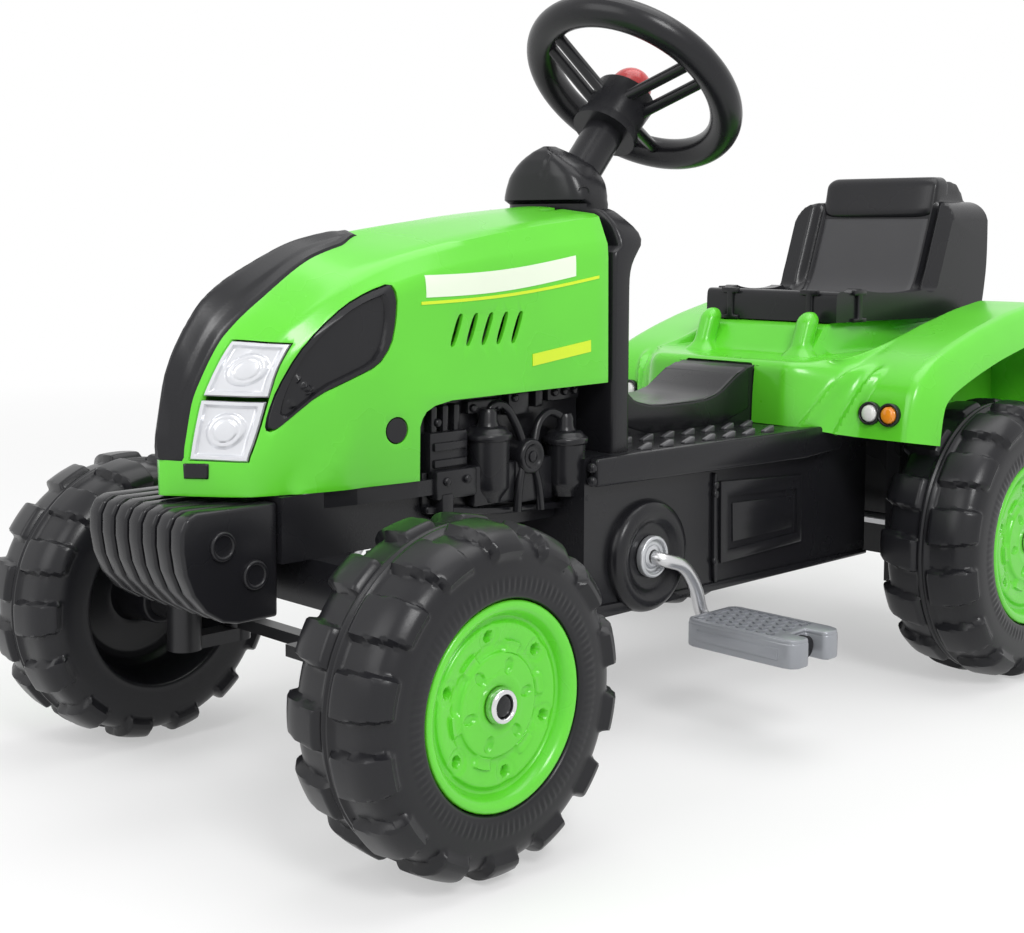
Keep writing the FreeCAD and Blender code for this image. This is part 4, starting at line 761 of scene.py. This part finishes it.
# plain stripes on the hood sides
stripe_white = material("stripe_white", (0.78, 0.86, 0.70), 0.35, 300, 0.01, 0.05)
stripe_yellow = material("stripe_yellow", (0.62, 0.80, 0.02), 0.35, 300, 0.01, 0.05)
for side, sign in SIDES:
    for title, mat, low, high in (
        ("stripe_high", stripe_white, [(-70, 316), (-200, 327)], [(-68, 330), (-200, 340)]),
        ("stripe_line", stripe_yellow, [(-66, 311.5), (-222, 325)], [(-66, 313.5), (-222, 328)]),
        ("stripe_low", stripe_yellow, [(-160, 268), (-214, 275)], [(-160, 276), (-214, 282)]),
    ):
        def stripe_point(a, b):
            x0 = mix(low[0][0], low[1][0], a)
            z0 = mix(low[0][1], low[1][1], a) + (high[0][1] - low[0][1]) * b
            sag = 3.0 * math.sin(math.pi * a) if title != "stripe_low" else 0.0
            return at(x0, sign * (hood_half(x0, z0 - sag) + 0.25), z0 - sag)
        mark = sheet(title + "_" + side, 40, 6, stripe_point)
        thicken(mark, 0.00001, 35, 0.0004, 0.0)
        tidy_mesh(mark, 0.00001, 35)
        finish_piece(mark, mat, "hood", "green_plastic")


# rounded forms built up from loops


def loop_sheet(name, loops, angle=40):
    """A skin over equal loops of points, closed round and at both ends."""
    rows = [[sum(loops[0], Vector()) / len(loops[0])] * len(loops[0])] + loops
    rows.append([sum(loops[-1], Vector()) / len(loops[-1])] * len(loops[-1]))
    count = len(loops[0])

    def spot(a, b):
        return pick(rows, b)[int(round(a * count)) % count]

    return skin(name, count, len(rows) - 1, spot, 0.00003, angle)


def soft_box(z, x0, x1, half, power=4.0, count=64):
    """One level of an upright form with rounded corners."""
    loop = []
    for index in range(count):
        turn = 2 * math.pi * index / count
        c, s = math.cos(turn), math.sin(turn)
        a = math.copysign(abs(c) ** (2.0 / power), c)
        b = math.copysign(abs(s) ** (2.0 / power), s)
        loop.append(at((x0 + x1) / 2 + (x1 - x0) / 2 * a, half * b, z))
    return loop


def along(points, place):
    """Straight value between pairs of place and value."""
    for a, b in zip(points[:-1], points[1:]):
        if place <= b[0]:
            part = max(0.0, (place - a[0]) / (b[0] - a[0]))
            return mix(a[1], b[1], part)
    return points[-1][1]


# dashboard wall, cowl and column box
levels = [203.2 + 4.5 * i for i in range(38)]
wall_loops = []
for z in levels + [371.5, 373.0]:
    half = 76.6 - 20.0 * max(0.0, (z - 341) / 32.0) ** 2.2
    rear = -254.5 - 15.5 * math.exp(-((z - 353) / 15.0) ** 2)
    front = -234.6 - 7.2 * smooth(343.5, 345.0, z)
    wall_loops.append(soft_box(z, rear, front, half - 2.5 * smooth(371, 373, z), 9.0, 72))
dash_wall = loop_sheet("dash_wall", wall_loops, 45)
COWL_HALF = [(352, 40.5), (382, 40.5), (389, 38.5), (396, 35), (404, 28), (411, 18), (415, 10),
             (418.5, 2.5)]
COWL_FRONT = [(352, -241.7), (377.5, -241.7), (379.5, -235), (398, -235), (408, -237), (415, -241),
              (418.5, -246)]
COWL_REAR = [(352, -276), (368, -279), (392, -281), (404, -277), (412, -268), (418.5, -256)]
SEAM_DEEP = 0.0014
cowl_loops = []
for step in range(34):
    z = 352 + 66.5 * math.sin(math.pi / 2 * step / 33.0)
    front, rear = along(COWL_FRONT, z), along(COWL_REAR, z)
    middle = (front + rear) / 2000 + FRONT_AXLE_X / 1000
    loop = soft_box(z, rear, front, along(COWL_HALF, z), 3.4, 96)
    for point in loop:
        if point.x > middle:
            point.x -= SEAM_DEEP * bump(point.y * 1000, 9.6, 10.6, 1.2)
    cowl_loops.append(loop)
cowl = loop_sheet("dash_cowl", cowl_loops, 40)
box = [(-250, 203.2), (-250, 327), (-273, 327), (-285, 303), (-285, 203.2)]
column_box = soft_plate("dash_box", rounded(box, True, 1), -44.6, 44.6, "xz", 5, 3)
EYE_PLACE = at(-247.2, 36.6, 384.6)
EYE_WAY = (0.48, 0.87, 0.0)
cheek = turned("dash_eye", EYE_PLACE, EYE_WAY,
               [(4.9, 0.0), (4.7, 1.9), (3.7, 2.1), (3.3, 1.2), (0.0, 1.1)], 32)
dash = joined("dashboard_look", [dash_wall, cowl, column_box, cheek])
finish_piece(dash, black, "chassis", "black_plastic", ["dashboard"])
# near-black disc in the screw hole's dip: painted shade for the depth of the hole, darker than the black
# dashboard
hole_shade_mat = material("hole_dark", (0.004, 0.004, 0.005), 0.6, 400, 0.01, 0.1)
hole_shade = turned("dash_screw_hole", EYE_PLACE, EYE_WAY, [(3.2, 0.9), (3.1, 1.35), (0.0, 1.35)], 24)
finish_piece(hole_shade, hole_shade_mat, "chassis", "black_plastic")

# seat
SEAT = [(-525, 281.6), (-525, 303), (-528, 307), (-537, 307), (-545, 301), (-556, 295), (-580, 292),
        (-620, 291), (-645, 294), (-658, 303), (-667, 316), (-677, 342), (-687, 368), (-693, 384),
        (-699, 395), (-708, 400), (-722, 401), (-732, 397), (-737, 387), (-738, 330), (-733, 300),
        (-728, 281.6)]
seat_line = resampled(rounded(SEAT, False, 2) + SEAT[:1], 3.2)
seat_line[-1] = seat_line[0]
seat_ways = square_ways(seat_line)
SEAT_WIDTH = [(-738, 1.0), (-660, 0.98), (-600, 0.88), (-560, 0.82), (-525, 0.80)]


def seat_point(a, b):
    x, z = pick(seat_line, a)
    nx, nz = pick(seat_ways, a)
    y = 82.0 * (2 * b - 1)
    wide = abs(y)
    narrow = along(SEAT_WIDTH, x)
    inside = nx * 0.6 + nz > 0.35
    pan = smooth(-538, -552, x) * (1 - smooth(-640, -662, x)) if inside else 0.0
    back = smooth(-650, -668, x) * (1 - smooth(376, 388, z)) if inside else 0.0
    lift = 13.0 * pan * smooth(64, 70, wide) + 7.0 * back * smooth(61, 67, wide)
    lift += 2.4 * (pan + back) * bump(wide, 54.5, 57.5, 2.0)
    lift -= 2.0 * back * bump(wide, 58.5, 61.0, 1.5)
    x += lift * nx
    z += lift * nz
    corner = max(0.0, (wide - 62) / 20.3)
    top = 401.5 - 19 * smooth(54, 59, wide) - 20 * (1 - math.sqrt(1 - corner ** 2))
    return at(x, y * narrow, min(z, top))


seat = sheet("seat_look", len(seat_line) - 1, 110, seat_point)
tidy_mesh(seat, 0.00003, 40)
bpy.ops.object.mode_set(mode="EDIT")
bpy.ops.mesh.select_all(action="SELECT")
bpy.ops.mesh.fill_holes(sides=0)
bpy.ops.object.mode_set(mode="OBJECT")
tidy_mesh(seat, 0.00003, 40)
use_modifier(seat, "BEVEL", width=0.002, segments=2, limit_method="ANGLE", angle_limit=math.radians(55))
smooth_by(seat, 40)
pad_loops = []
for step in range(25):
    z = 386.3 - 18.2 * math.cos(math.pi * step / 24.0)
    edge = max(0.0, 1 - min(z - 368.0, 404.6 - z) / 9.0)
    back_off = 1 - math.sqrt(1 - min(1.0, edge) ** 2)
    face = -683.5 - 0.25 * (z - 369) - 6.0 * back_off
    pad_loops.append(soft_box(z, -716, face, 57.0 - 9.0 * back_off, 7.0, 96))
seat_parts = [seat, loop_sheet("seat_pad", pad_loops, 50)]
bracket = [(-3, 0), (-3, 19), (-9, 19), (-9, 23.5), (9, 23.5), (9, 19), (3, 19), (3, 0), (9, 0),
           (9, -3.5), (-9, -3.5), (-9, 0)]
for sign in (1, -1):
    front = [(40 * sign + a, 284.5 + b) for a, b in bracket]
    seat_parts.append(soft_plate("seat_bracket", front, -526, -523.2, "yz", 0.9))
    flank = [(-555 + a, 284.5 + b) for a, b in bracket]
    seat_parts.append(side_plate(sign, "seat_bracket", flank, 65.5, 69.6, 0.9))
seat = joined("seat_look", seat_parts)
finish_piece(seat, black, "chassis", "black_plastic", ["seat"])
seat_grey = material("seat_grain", (0.034, 0.034, 0.037), 0.46, 900, 0.12, 0.14)
panel_first = next(i for i, p in enumerate(seat_line) if p[0] < -548)
panel_last = next(i for i, p in enumerate(seat_line) if p[1] > 366)


def panel_point(a, b):
    index = panel_first + int(round(a * (panel_last - panel_first)))
    x, z = seat_line[index]
    nx, nz = seat_ways[index]
    edge = smooth(0.0, 0.025, min(b, 1 - b)) * smooth(0.0, 0.03, min(a, 1 - a))
    lift = 1.2 * edge - 0.4
    return at(x + lift * nx, 53.5 * (2 * b - 1) * along(SEAT_WIDTH, x), z + lift * nz)


panel = sheet("seat_panel", panel_last - panel_first, 80, panel_point)
thicken(panel, 0.00001, 35, 0.0008)
tidy_mesh(panel, 0.00001, 35)
finish_piece(panel, seat_grey, "chassis", "black_plastic")

# rear body with the fenders
CORE = [(-451, 203.5), (-452, 228), (-454, 248), (-459, 253.5), (-478, 254.5), (-499, 256), (-521, 280.8),
        (-600, 280.8), (-728, 280.8), (-735, 274), (-735, 203.5)]
LEDGE = CORE[:5] + [(-505, 255.5), (-545, 256.5), (-620, 257), (-728, 257), (-735, 251), (-735, 203.5)]
FENDER = [(-486, 195.5), (-489, 216), (-495, 235), (-506, 247), (-524, 257), (-560, 269), (-598, 279.5),
          (-645, 289.5), (-700, 297.5), (-733, 287), (-735, 195.5)]
PARTS = [6, 6, 4, 6, 8, 10, 12, 14, 5, 12]


def relaxed(line, times):
    """Evens out a drawn line and keeps its ends."""
    for turn in range(times):
        inner = [tuple((p[k] + 2 * q[k] + r[k]) / 4 for k in (0, 1))
                 for p, q, r in zip(line[:-2], line[1:-1], line[2:])]
        line = [line[0]] + inner + [line[-1]]
    return line


def spread(marks):
    """The drawn line through the marks, with the same number of points for every line."""
    line = [marks[0]]
    for a, b, count in zip(marks[:-1], marks[1:], PARTS):
        line += steps_between(a, b, count)
    return relaxed(line, 2)


core_line = spread(CORE)
ledge_line = spread(LEDGE)
fender_line = relaxed(spread(FENDER), 6)
BAND = [(0.0, 150.0, 0.0), (0.25, 154.5, 1.2), (0.45, 158.0, 5.0), (0.7, 162.5, 13.0), (0.9, 166.0, 20.5),
        (1.0, 168.0, 27.0)]


def body_mix(index, wide):
    side = smooth(59, 63, wide)
    rise = smooth(91, 101, wide)
    turn = smooth(62, 116, wide)
    part = turn if index <= 16 else mix(turn, rise, smooth(16, 26, index))
    point = []
    for k in (0, 1):
        low = mix(core_line[index][k], ledge_line[index][k], side)
        point.append(mix(low, fender_line[index][k], part))
    return point


def body_point(a, b):
    index = int(round(a * (len(core_line) - 1)))
    sign = 1 if b >= 0.5 else -1
    across = abs(2 * b - 1)
    drop = 0.0
    if across <= 0.84:
        wide = 150.0 * across / 0.84
    else:
        part = (across - 0.84) / 0.16
        wide = along([(p[0], p[1]) for p in BAND], part)
        drop = along([(p[0], p[2]) for p in BAND], part)
    x, z = body_mix(index, wide)
    before = body_mix(max(0, index - 1), wide)
    after = body_mix(min(len(core_line) - 1, index + 1), wide)
    nx, nz = square_to(before, after)
    lift = -drop
    if index < 24:
        for foot, lean in ((82.0, 0.5), (104.0, 0.36)):
            off = wide - foot - lean * (z - 201)
            lift += 4.8 * bump(off, -5.0, 1.0, 6.0) * (1 - smooth(240, 252, z))
    return at(x + lift * nx, sign * wide, z + lift * nz)


body = sheet("rear_body_look", len(core_line) - 1, 190, body_point)
thicken(body, 0.00003, 35, 0.0035)
notch = [(-36.8, 190), (36.8, 190), (36.8, 246), (32, 251), (-32, 251), (-36.8, 246)]
cut_with(body, [plate("tool", notch, -400, -500, "yz")])
body_parts = [smooth_by(body, 35)]
BODY_WALLS = [
    ("body_wall_in", 37.2, 40.4, [(-455, 203.6), (-455, 250), (-500, 250), (-500, 203.6)]),
    ("body_side_in", 57.5, 60.5, [(-500, 257), (-560, 257), (-620, 275), (-730, 280), (-730, 240),
                                  (-500, 240)]),
    ("fender_wall_in", 89.5, 92.5, [(-492, 196), (-494, 236), (-510, 254), (-560, 259), (-730, 259),
                                    (-733, 196)]),
]
for sign in (1, -1):
    loops = []
    for step in range(26):
        t = step / 25.0
        z = 252.0 + 38.5 * math.sin(math.pi / 2 * t)
        flare = (1 - smooth(252, 268, z)) ** 2
        slim = math.sqrt(max(0.0, 1 - max(0.0, (z - 281.5) / 9.1) ** 2))
        x = -497 - 15 * (z - 252) / 38.5
        deep = (8.5 + 5.0 * flare) * slim + 0.3
        wide = (7.6 + 9.0 * flare) * slim + 0.3
        loop = soft_box(z, x - deep, x + deep, wide, 2.6, 40)
        for point in loop:
            point.y += 0.049 * sign
        loops.append(loop)
    body_parts.append(loop_sheet("body_post", loops, 60))
    for name, y0, y1, outline in BODY_WALLS:
        body_parts.append(plate(name, outline, y0 * sign, y1 * sign, "xz", 0.6))
body = joined("rear_body_look", body_parts)
finish_piece(body, green, "chassis", "green_plastic", ["rear_body"])

# lamps on the fender fronts
BEZEL = [(9.3, -3), (9.3, 1.6), (8.6, 2.7), (7.6, 2.7), (7.1, 1.4), (7.1, -3)]
LENS = [(7.0, -2), (6.9, 1.2), (5.8, 2.5), (3.4, 3.3), (0, 3.6)]
LAMP_WAY = (0.99, 0, 0.13)
rings = []
whites = []
ambers = []
for sign in (1, -1):
    for y, store in ((121.5, whites), (138.5, ambers)):
        spot = at(-488.0, y * sign, 215)
        rings.append(turned("lamp_ring", spot, LAMP_WAY, BEZEL, 40))
        store.append(turned("lamp_lens", spot, LAMP_WAY, LENS, 32))
finish_piece(joined("lamp_bezels_look", rings), black, "chassis", "black_plastic", ["lamp_bezels"])
finish_piece(joined("lamp_white_look", whites), white_lens, "chassis", "white_lens", ["lamp_lenses_white"])
finish_piece(joined("lamp_amber_look", ambers), amber_lens, "chassis", "amber_lens", ["lamp_lenses_amber"])

# footplate, tunnel and side panels of the chassis, with the crank's place
CX, CZ = -265.0, 128.0
treads = []
for sign in (1, -1):
    for row, y in ((0, 47.5), (1, 78)):
        for step in range(8):
            x = -258 - 24.5 * step - 10 * row
            if x < -436:
                continue
            bar = [(x + 6, 202.6), (x + 6, 204.2), (x - 4, 207.4), (x - 6, 207.4), (x - 6, 202.6)]
            treads.append(side_plate(sign, "foot_bar", bar, y - 2.2, y + 2.2, 1.3, 3, 60))
# the tread bars are coloured lighter grey than the black footplate: a painted highlight on the ridges
tread_highlight_grey = material("tread_bars", (0.075, 0.075, 0.08), 0.26, 600, 0.02, 0.12)
finish_piece(joined("foot_treads", treads), tread_highlight_grey, "chassis", "black_plastic")
TUNNEL = [(-449, 204), (-449, 250.4), (-432, 244.4), (-408, 230.4), (-388, 226.4), (-329, 226.4),
          (-307, 231.4), (-293, 242.4), (-286, 250.4), (-286, 204)]
tunnel = soft_plate("tunnel_cover", rounded(TUNNEL, True, 1), -36.5, 36.5, "xz", 3.2, 3)
finish_piece(tunnel, black, "chassis", "black_plastic")
KNOB = [(3.2, 0), (3.0, 1.8), (1.6, 2.8), (0, 3.0)]
BOSS = [(40.5, 0.0), (40.2, 3.0), (38.6, 6.8), (35.4, 9.0), (31.5, 9.4), (27.5, 8.4), (24.4, 6.2),
        (22.6, 4.7), (15.5, 4.7), (15.0, 4.0)]
for side, sign in SIDES:
    parts = []
    edge = [(-204, 203.3), (-449, 203.3), (-500, 203.3), (-500, 183), (-449, 180), (-204, 184)]
    parts.append(side_plate(sign, "foot_edge", edge, 82.5, 90.7, 2.4, 3))
    outer = [(-349, 172), (-453, 166), (-454, 113), (-350, 110)]
    border = plate("panel_frame", outer, 81.0 * sign, 84.6 * sign, "xz", 1.2)
    well = [(-358, 160), (-446, 156), (-447, 121), (-359, 119)]
    hollow = plate("tool", well, 83.0 * sign, 90 * sign, "xz")
    parts.append(smooth_by(cut_with(border, [hollow]), 40))
    inner = [(-364, 154), (-441, 150.5), (-442, 126), (-365, 124.5)]
    parts.append(side_plate(sign, "panel_inner", inner, 82.5, 84.0, 0.7))
    post = [(-340, 179), (-345, 179), (-346.5, 97), (-341, 97)]
    parts.append(side_plate(sign, "panel_post", rounded(post, True, 1), 81.5, 85.2, 1.2))
    for z in (170, 163, 113):
        parts.append(side_turned(sign, "panel_knob", -343, 83.5, z, KNOB, 20))
    sill = [(-205, 100), (-300, 97), (-430, 96), (-548, 94), (-548, 90.4), (-430, 90.4), (-205, 90.4)]
    parts.append(side_plate(sign, "tub_sill", sill, 81.5, 84.5, 1.3))
    parts.append(side_turned(sign, "crank_boss", CX, 81.6, CZ, BOSS, 96))
    trim = joined("chassis_panel_" + side, parts)
    finish_piece(trim, black, "chassis", "black_plastic")

# engine relief under the hood, blocks from x0 to x1, z0 to z1 and y0 to y1
ENGINE_BLOCKS = [
    ("engine_block", -78, -112, 187, 229, 46, 59.5, 2.0),
    ("engine_step", -80, -109, 206, 211.5, 54, 62, 1.2),
    ("engine_step", -80, -109, 217, 222.5, 54, 62, 1.2),
    ("engine_foot", -82, -92, 172, 190, 54, 67.4, 1.6),
    ("engine_base", -78, -114, 186, 205, 54, 66.2, 2.0),
    ("engine_base", -112, -150, 178, 205, 54, 65.4, 2.0),
    ("engine_bracket", -150, -186, 176, 205, 54, 65.8, 2.0),
]
ENGINE_BLOCKS += [("engine_fin", x, x - 5.5, 228, 246, 46, 57.5, 1.6) for x in (-81, -91, -101)]
HEAD_SPANS = ((-114, -146, 238, 247), (-152, -172, 234, 250), (-178, -186, 238, 251),
              (-190, -222, 241, 252))
ENGINE_HEADS = [("engine_head", *span, 46, 57, 1.8) for span in HEAD_SPANS]
PULLEY = [(12, -8), (12, 9.5), (10.6, 11.6), (8.4, 11.6), (7, 9.8), (4, 9.8), (3.4, 12.4), (0, 12.8)]
ENGINE_BOLT = [(2.8, 0), (2.8, 1.8), (1.8, 2.8), (0, 3.0)]
TUB_BOLT = [(3.6, 0), (3.6, 2.0), (2.4, 3.4), (0, 3.8)]


def slabs_of(rows, sign):
    slabs = []
    for name, x0, x1, z0, z1, y0, y1, soft in rows:
        outline = [(x0, z0), (x0, z1), (x1, z1), (x1, z0)]
        slabs.append(side_plate(sign, name, outline, y0, y1, soft))
    return slabs


for side, sign in SIDES:
    back = [(-66, 203.3), (-66, 243), (-72, 250), (-90, 253), (-227, 257), (-227, 203.3)]
    parts = [side_plate(sign, "engine_back", back, 44.2, 50.5, 1.5)]
    apron = [(-74, 203.5), (-74, 179), (-140, 171), (-203, 168), (-203, 203.5)]
    parts.append(side_plate(sign, "engine_apron", apron, 53.6, 56.2, 1.0))
    lip = [(-74, 182.5), (-74, 177.5), (-140, 169.5), (-203, 166.5), (-203, 171.5), (-140, 174.5)]
    parts.append(side_plate(sign, "engine_lip", lip, 54, 61, 1.6, 3))
    parts += slabs_of(ENGINE_BLOCKS, sign)
    for x, y, radius, low, high in ((-130, 59.0, 14.5, 179, 229), (-199, 65.0, 14.0, 176, 221)):
        tall = high - low
        lines = [(0, 0), (radius - 6, 0), (radius - 5, 3), (radius - 0.6, 9), (radius, 11),
                 (radius, tall - 9), (radius + 1.8, tall - 8), (radius + 1.8, tall - 4.5),
                 (radius, tall - 3.5), (radius - 2.5, tall), (radius - 8, tall + 1),
                 (radius - 8.5, tall + 12), (0, tall + 12)]
        parts.append(turned("engine_can", at(x, y * sign, low), (0, 0, 1), lines, 48))
    parts.append(side_turned(sign, "engine_pulley", -163, 58, 207, PULLEY, 48))
    for path in ([(-156, 65, 200), (-152, 66.5, 188), (-151, 66, 171)],
                 [(-168, 65, 199), (-171, 66.5, 188), (-174, 66, 170)],
                 [(-131, 56, 236), (-137, 57, 244), (-148, 58, 242), (-157, 60, 227), (-161, 62, 214)],
                 [(-171, 62, 214), (-177, 60, 229), (-188, 61, 236), (-199, 65, 229)]):
        line = resampled(rounded(path, False, 3), 3.0)
        parts.append(tube("engine_pipe", [at(x, y * sign, z) for x, y, z in line], 3.0))
    parts += slabs_of(ENGINE_HEADS, sign)
    for x, z in ((-86, 198), (-104, 198), (-86, 235), (-118, 242), (-141, 242), (-157, 246), (-196, 247),
                 (-206, 247), (-216, 247)):
        y = 66.0 if z < 203 else 57.0
        parts.append(side_turned(sign, "engine_bolt", x, y, z, ENGINE_BOLT, 14))
    for y, z in ((86.5, 197), (86.5, 188), (79, 176), (70, 172)):
        parts.append(turned("tub_bolt", at(-203.6, y * sign, z), (1, 0, 0), TUB_BOLT, 16))
    finish_piece(joined("engine_%s_look" % side, parts), black, "chassis", "black_plastic",
                 ["engine_" + side])

# front weights
RIB = [(37.4, 197), (95, 197), (102, 194), (105.5, 187), (105.8, 176), (103.5, 162), (98, 149), (89, 138),
       (77, 130.5), (66, 128), (37.4, 128)]
CORE_RIB = [(37.4, 195), (93, 195), (99, 191), (101, 185), (101, 175), (98.5, 163), (93, 151),
            (84.5, 141), (74, 134), (64, 131), (37.4, 131)]
WEIGHT_RING = [(9.0, 0), (8.8, 2.6), (7.6, 3.4), (6.3, 2.8), (5.8, 1.4), (0, 1.3)]
RIB_STEP = 104 / 7.0
slabs = [plate("weight_core", CORE_RIB, -50, 50, "xz", 1.5)]
for step in range(7):
    y0 = -52 + RIB_STEP * step + 1.3
    slabs.append(soft_plate("weight_rib", RIB, y0, y0 + RIB_STEP - 2.6, "xz", 2.2, 3))
for sign in (1, -1):
    for x, z in ((78, 176), (55, 156)):
        slabs.append(side_turned(sign, "weight_ring", x, 50.2, z, WEIGHT_RING, 36))
finish_piece(joined("front_weight_look", slabs), black, "chassis", "black_plastic", ["front_weight"])

# crank and pedals
CAP_Y = 86.1
TURN = math.radians(40)
ARM = 70
TX, TZ = -ARM * math.sin(TURN), -ARM * math.cos(TURN)
half_path = [(0.0, 0.0), (0.0, 88.0), (0.05, 97.0), (0.28, 99.0), (0.6, 98.0), (0.93, 98.0), (1.0, 106.0),
             (1.0, 184.0)]
bend = [0.0, 0.0, 1.0, 12.0, 13.0, 4.0, 0.0, 0.0]
path = []
for sign in (-1, 1):
    arm = []
    for (t, y), off in zip(half_path, bend):
        along_x = TX * t + TZ * off / ARM
        along_z = TZ * t - TX * off / ARM
        arm.append((CX + sign * along_x, sign * y, CZ + sign * along_z))
    path += arm[:0:-1] if sign < 0 else arm
path = resampled(rounded(path, False, 3), 6.0)
crank = tube("crank_look", [at(*p) for p in path], 5.0, 20)
finish_piece(crank, steel, "crank", "zinc_steel", ["crank"])
CRANK_CAP = [(5.1, 0.2), (14.6, 0.2), (15.0, 0.6), (15.0, 4.4), (14.2, 5.4), (12.6, 5.4), (11.6, 4.4),
             (11.4, 2.6), (8.6, 2.4), (8.0, 3.6), (5.1, 3.8)]
caps = []
for sign in (1, -1):
    caps.append(side_turned(sign, "crank_cap", CX, CAP_Y, CZ, CRANK_CAP, 56))
finish_piece(joined("crank_caps_look", caps), silver, "crank", "grey_plastic", ["crank_caps"])
DECK = [(-22, 104.2), (22, 104.2), (27, 107), (29, 112), (29, 188), (27, 194), (22, 197), (12, 197),
        (9.5, 194), (9.5, 180), (-9.5, 180), (-9.5, 194), (-12, 197), (-22, 197), (-27, 194), (-29, 188),
        (-29, 112), (-27, 107)]
for side, sign in SIDES:
    px = CX + TX * sign
    pz = CZ + TZ * sign
    outline = [(px + a, b * sign) for a, b in DECK]
    parts = [soft_plate("pedal_body", outline, pz - 9.8, pz + 8.2, "xy", 2.6, 3)]
    rim = [(px + a * 0.99, (150.5 + (b - 150.5) * 0.99) * sign) for a, b in DECK]
    border = plate("pedal_rim", rim, pz + 6.0, pz + 10.0, "xy", 1.4)
    well = [(px + a, b * sign) for a, b in ((-24.5, 109), (24.5, 109), (24.5, 175.5), (-24.5, 175.5))]
    hollow = plate("tool", well, pz + 8.7, pz + 14, "xy")
    parts.append(smooth_by(cut_with(border, [hollow]), 40))
    for row in range(5):
        for col in range(8):
            x = px - 19.5 + 9.75 * row
            y = (112.5 + 8.4 * col + (4.2 if row % 2 else 0.0)) * sign
            if abs(y) > 172:
                continue
            bar = [(x - 3.6, y - 1.2 * sign), (x - 2.2, y + 2.2 * sign), (x + 3.6, y + 1.2 * sign),
                   (x + 2.2, y - 2.2 * sign)]
            parts.append(plate("pedal_grip", bar, pz + 8.0, pz + 10.0, "xy"))
    for edge in (-1, 1):
        slot = [(px + a, z) for a, z in ((edge * 28.2, pz - 4.5), (edge * 28.2, pz + 3.5),
                                         (edge * 29.8, pz + 3.5), (edge * 29.8, pz - 4.5))]
        parts.append(side_plate(sign, "pedal_side", slot, 116, 184, 0.7))
    pedal = joined("pedal_%s_look" % side, parts)
    finish_piece(pedal, grey, "pedal_" + side, "grey_plastic", ["pedal_" + side])


# floor, light and camera


def math_node(tree, operation, first, second):
    node = tree.nodes.new("ShaderNodeMath")
    node.operation = operation
    tree.links.new(first, node.inputs[0])
    tree.links.new(second, node.inputs[1])
    return node.outputs[0]


def seen_directly(tree):
    """One for rays from the camera, in mirrors and through glass, and none for the light on the part."""
    rays = tree.nodes.new("ShaderNodeLightPath").outputs
    mirror = math_node(tree, "MAXIMUM", rays["Is Camera Ray"], rays["Is Glossy Ray"])
    return math_node(tree, "MAXIMUM", mirror, rays["Is Transmission Ray"])


bpy.ops.object.select_all(action="DESELECT")
bpy.ops.mesh.primitive_plane_add(size=30, location=(0, 0, 0))
floor = bpy.context.object
floor.name = "floor"
floor_mat = bpy.data.materials.new("floor_white")
floor_mat.use_nodes = True
tree = floor_mat.node_tree
shader = tree.nodes["Principled BSDF"]
set_inputs(shader, {"Base Color": (0.84, 0.84, 0.84, 1), "Roughness": 0.9})
glow = tree.nodes.new("ShaderNodeEmission")
place = tree.nodes.new("ShaderNodeTexCoord")
far = tree.nodes.new("ShaderNodeVectorMath")
far.operation = "LENGTH"
wire(place, "Object", far, 0)
fade = tree.nodes.new("ShaderNodeMapRange")
set_inputs(fade, {"From Min": 0.5, "From Max": 2.6, "To Min": 0.45, "To Max": 1.0})
wire(far, "Value", fade, "Value")
share = math_node(tree, "MULTIPLY", seen_directly(tree), fade.outputs["Result"])
blend = tree.nodes.new("ShaderNodeMixShader")
tree.links.new(share, blend.inputs[0])
wire(shader, 0, blend, 1)
wire(glow, 0, blend, 2)
tree.links.new(blend.outputs[0], tree.nodes["Material Output"].inputs["Surface"])
dress(floor, floor_mat)

world = bpy.data.worlds.new("studio")
bpy.context.scene.world = world
world.use_nodes = True
tree = world.node_tree
back = tree.nodes["Background"]
level = tree.nodes.new("ShaderNodeMapRange")
set_inputs(level, {"To Min": 0.62, "To Max": 1.0})
tree.links.new(seen_directly(tree), level.inputs["Value"])
wire(level, "Result", back, "Strength")
set_inputs(back, {"Color": (1, 1, 1, 1)})


def area(name, spot, target, size, power):
    bpy.ops.object.light_add(type="AREA", location=spot)
    lamp = bpy.context.object
    lamp.name = name
    lamp.data.size = size
    lamp.data.energy = power
    lamp.rotation_euler = (Vector(target) - Vector(spot)).to_track_quat("-Z", "Y").to_euler()
    return lamp


area("key", (1.2, 2.2, 2.2), (0, 0, 0.2), 0.9, 42)
area("fill", (2.4, -0.4, 1.6), (0.1, 0, 0.2), 1.6, 18)
area("top", (-0.4, 0.2, 2.6), (0, 0, 0.2), 2.0, 26)

# the camera solved from the photograph: turns in degrees, focal length and middle in pixels
YAW = 227.959
PITCH = -4.432
FOCAL = 1595.7
MID_X, MID_Y = 410, 350
PHOTO_WIDE, PHOTO_HIGH = 1024, 933
SENSOR = 36.0
camera_data = bpy.data.cameras.new("view")
camera = bpy.data.objects.new("view", camera_data)
bpy.context.scene.collection.objects.link(camera)
camera_data.sensor_width = SENSOR
camera_data.sensor_fit = "HORIZONTAL"
camera_data.lens = FOCAL / PHOTO_WIDE * SENSOR
camera_data.shift_x = (PHOTO_WIDE / 2 - MID_X) / PHOTO_WIDE
camera_data.shift_y = (MID_Y - PHOTO_HIGH / 2) / PHOTO_WIDE
camera.location = (0.9286, 0.8006, 0.3606)
camera.rotation_euler = (math.radians(90 + PITCH), 0, math.radians(YAW - 90))
bpy.context.scene.camera = camera
bpy.context.scene.view_settings.view_transform = "Standard"
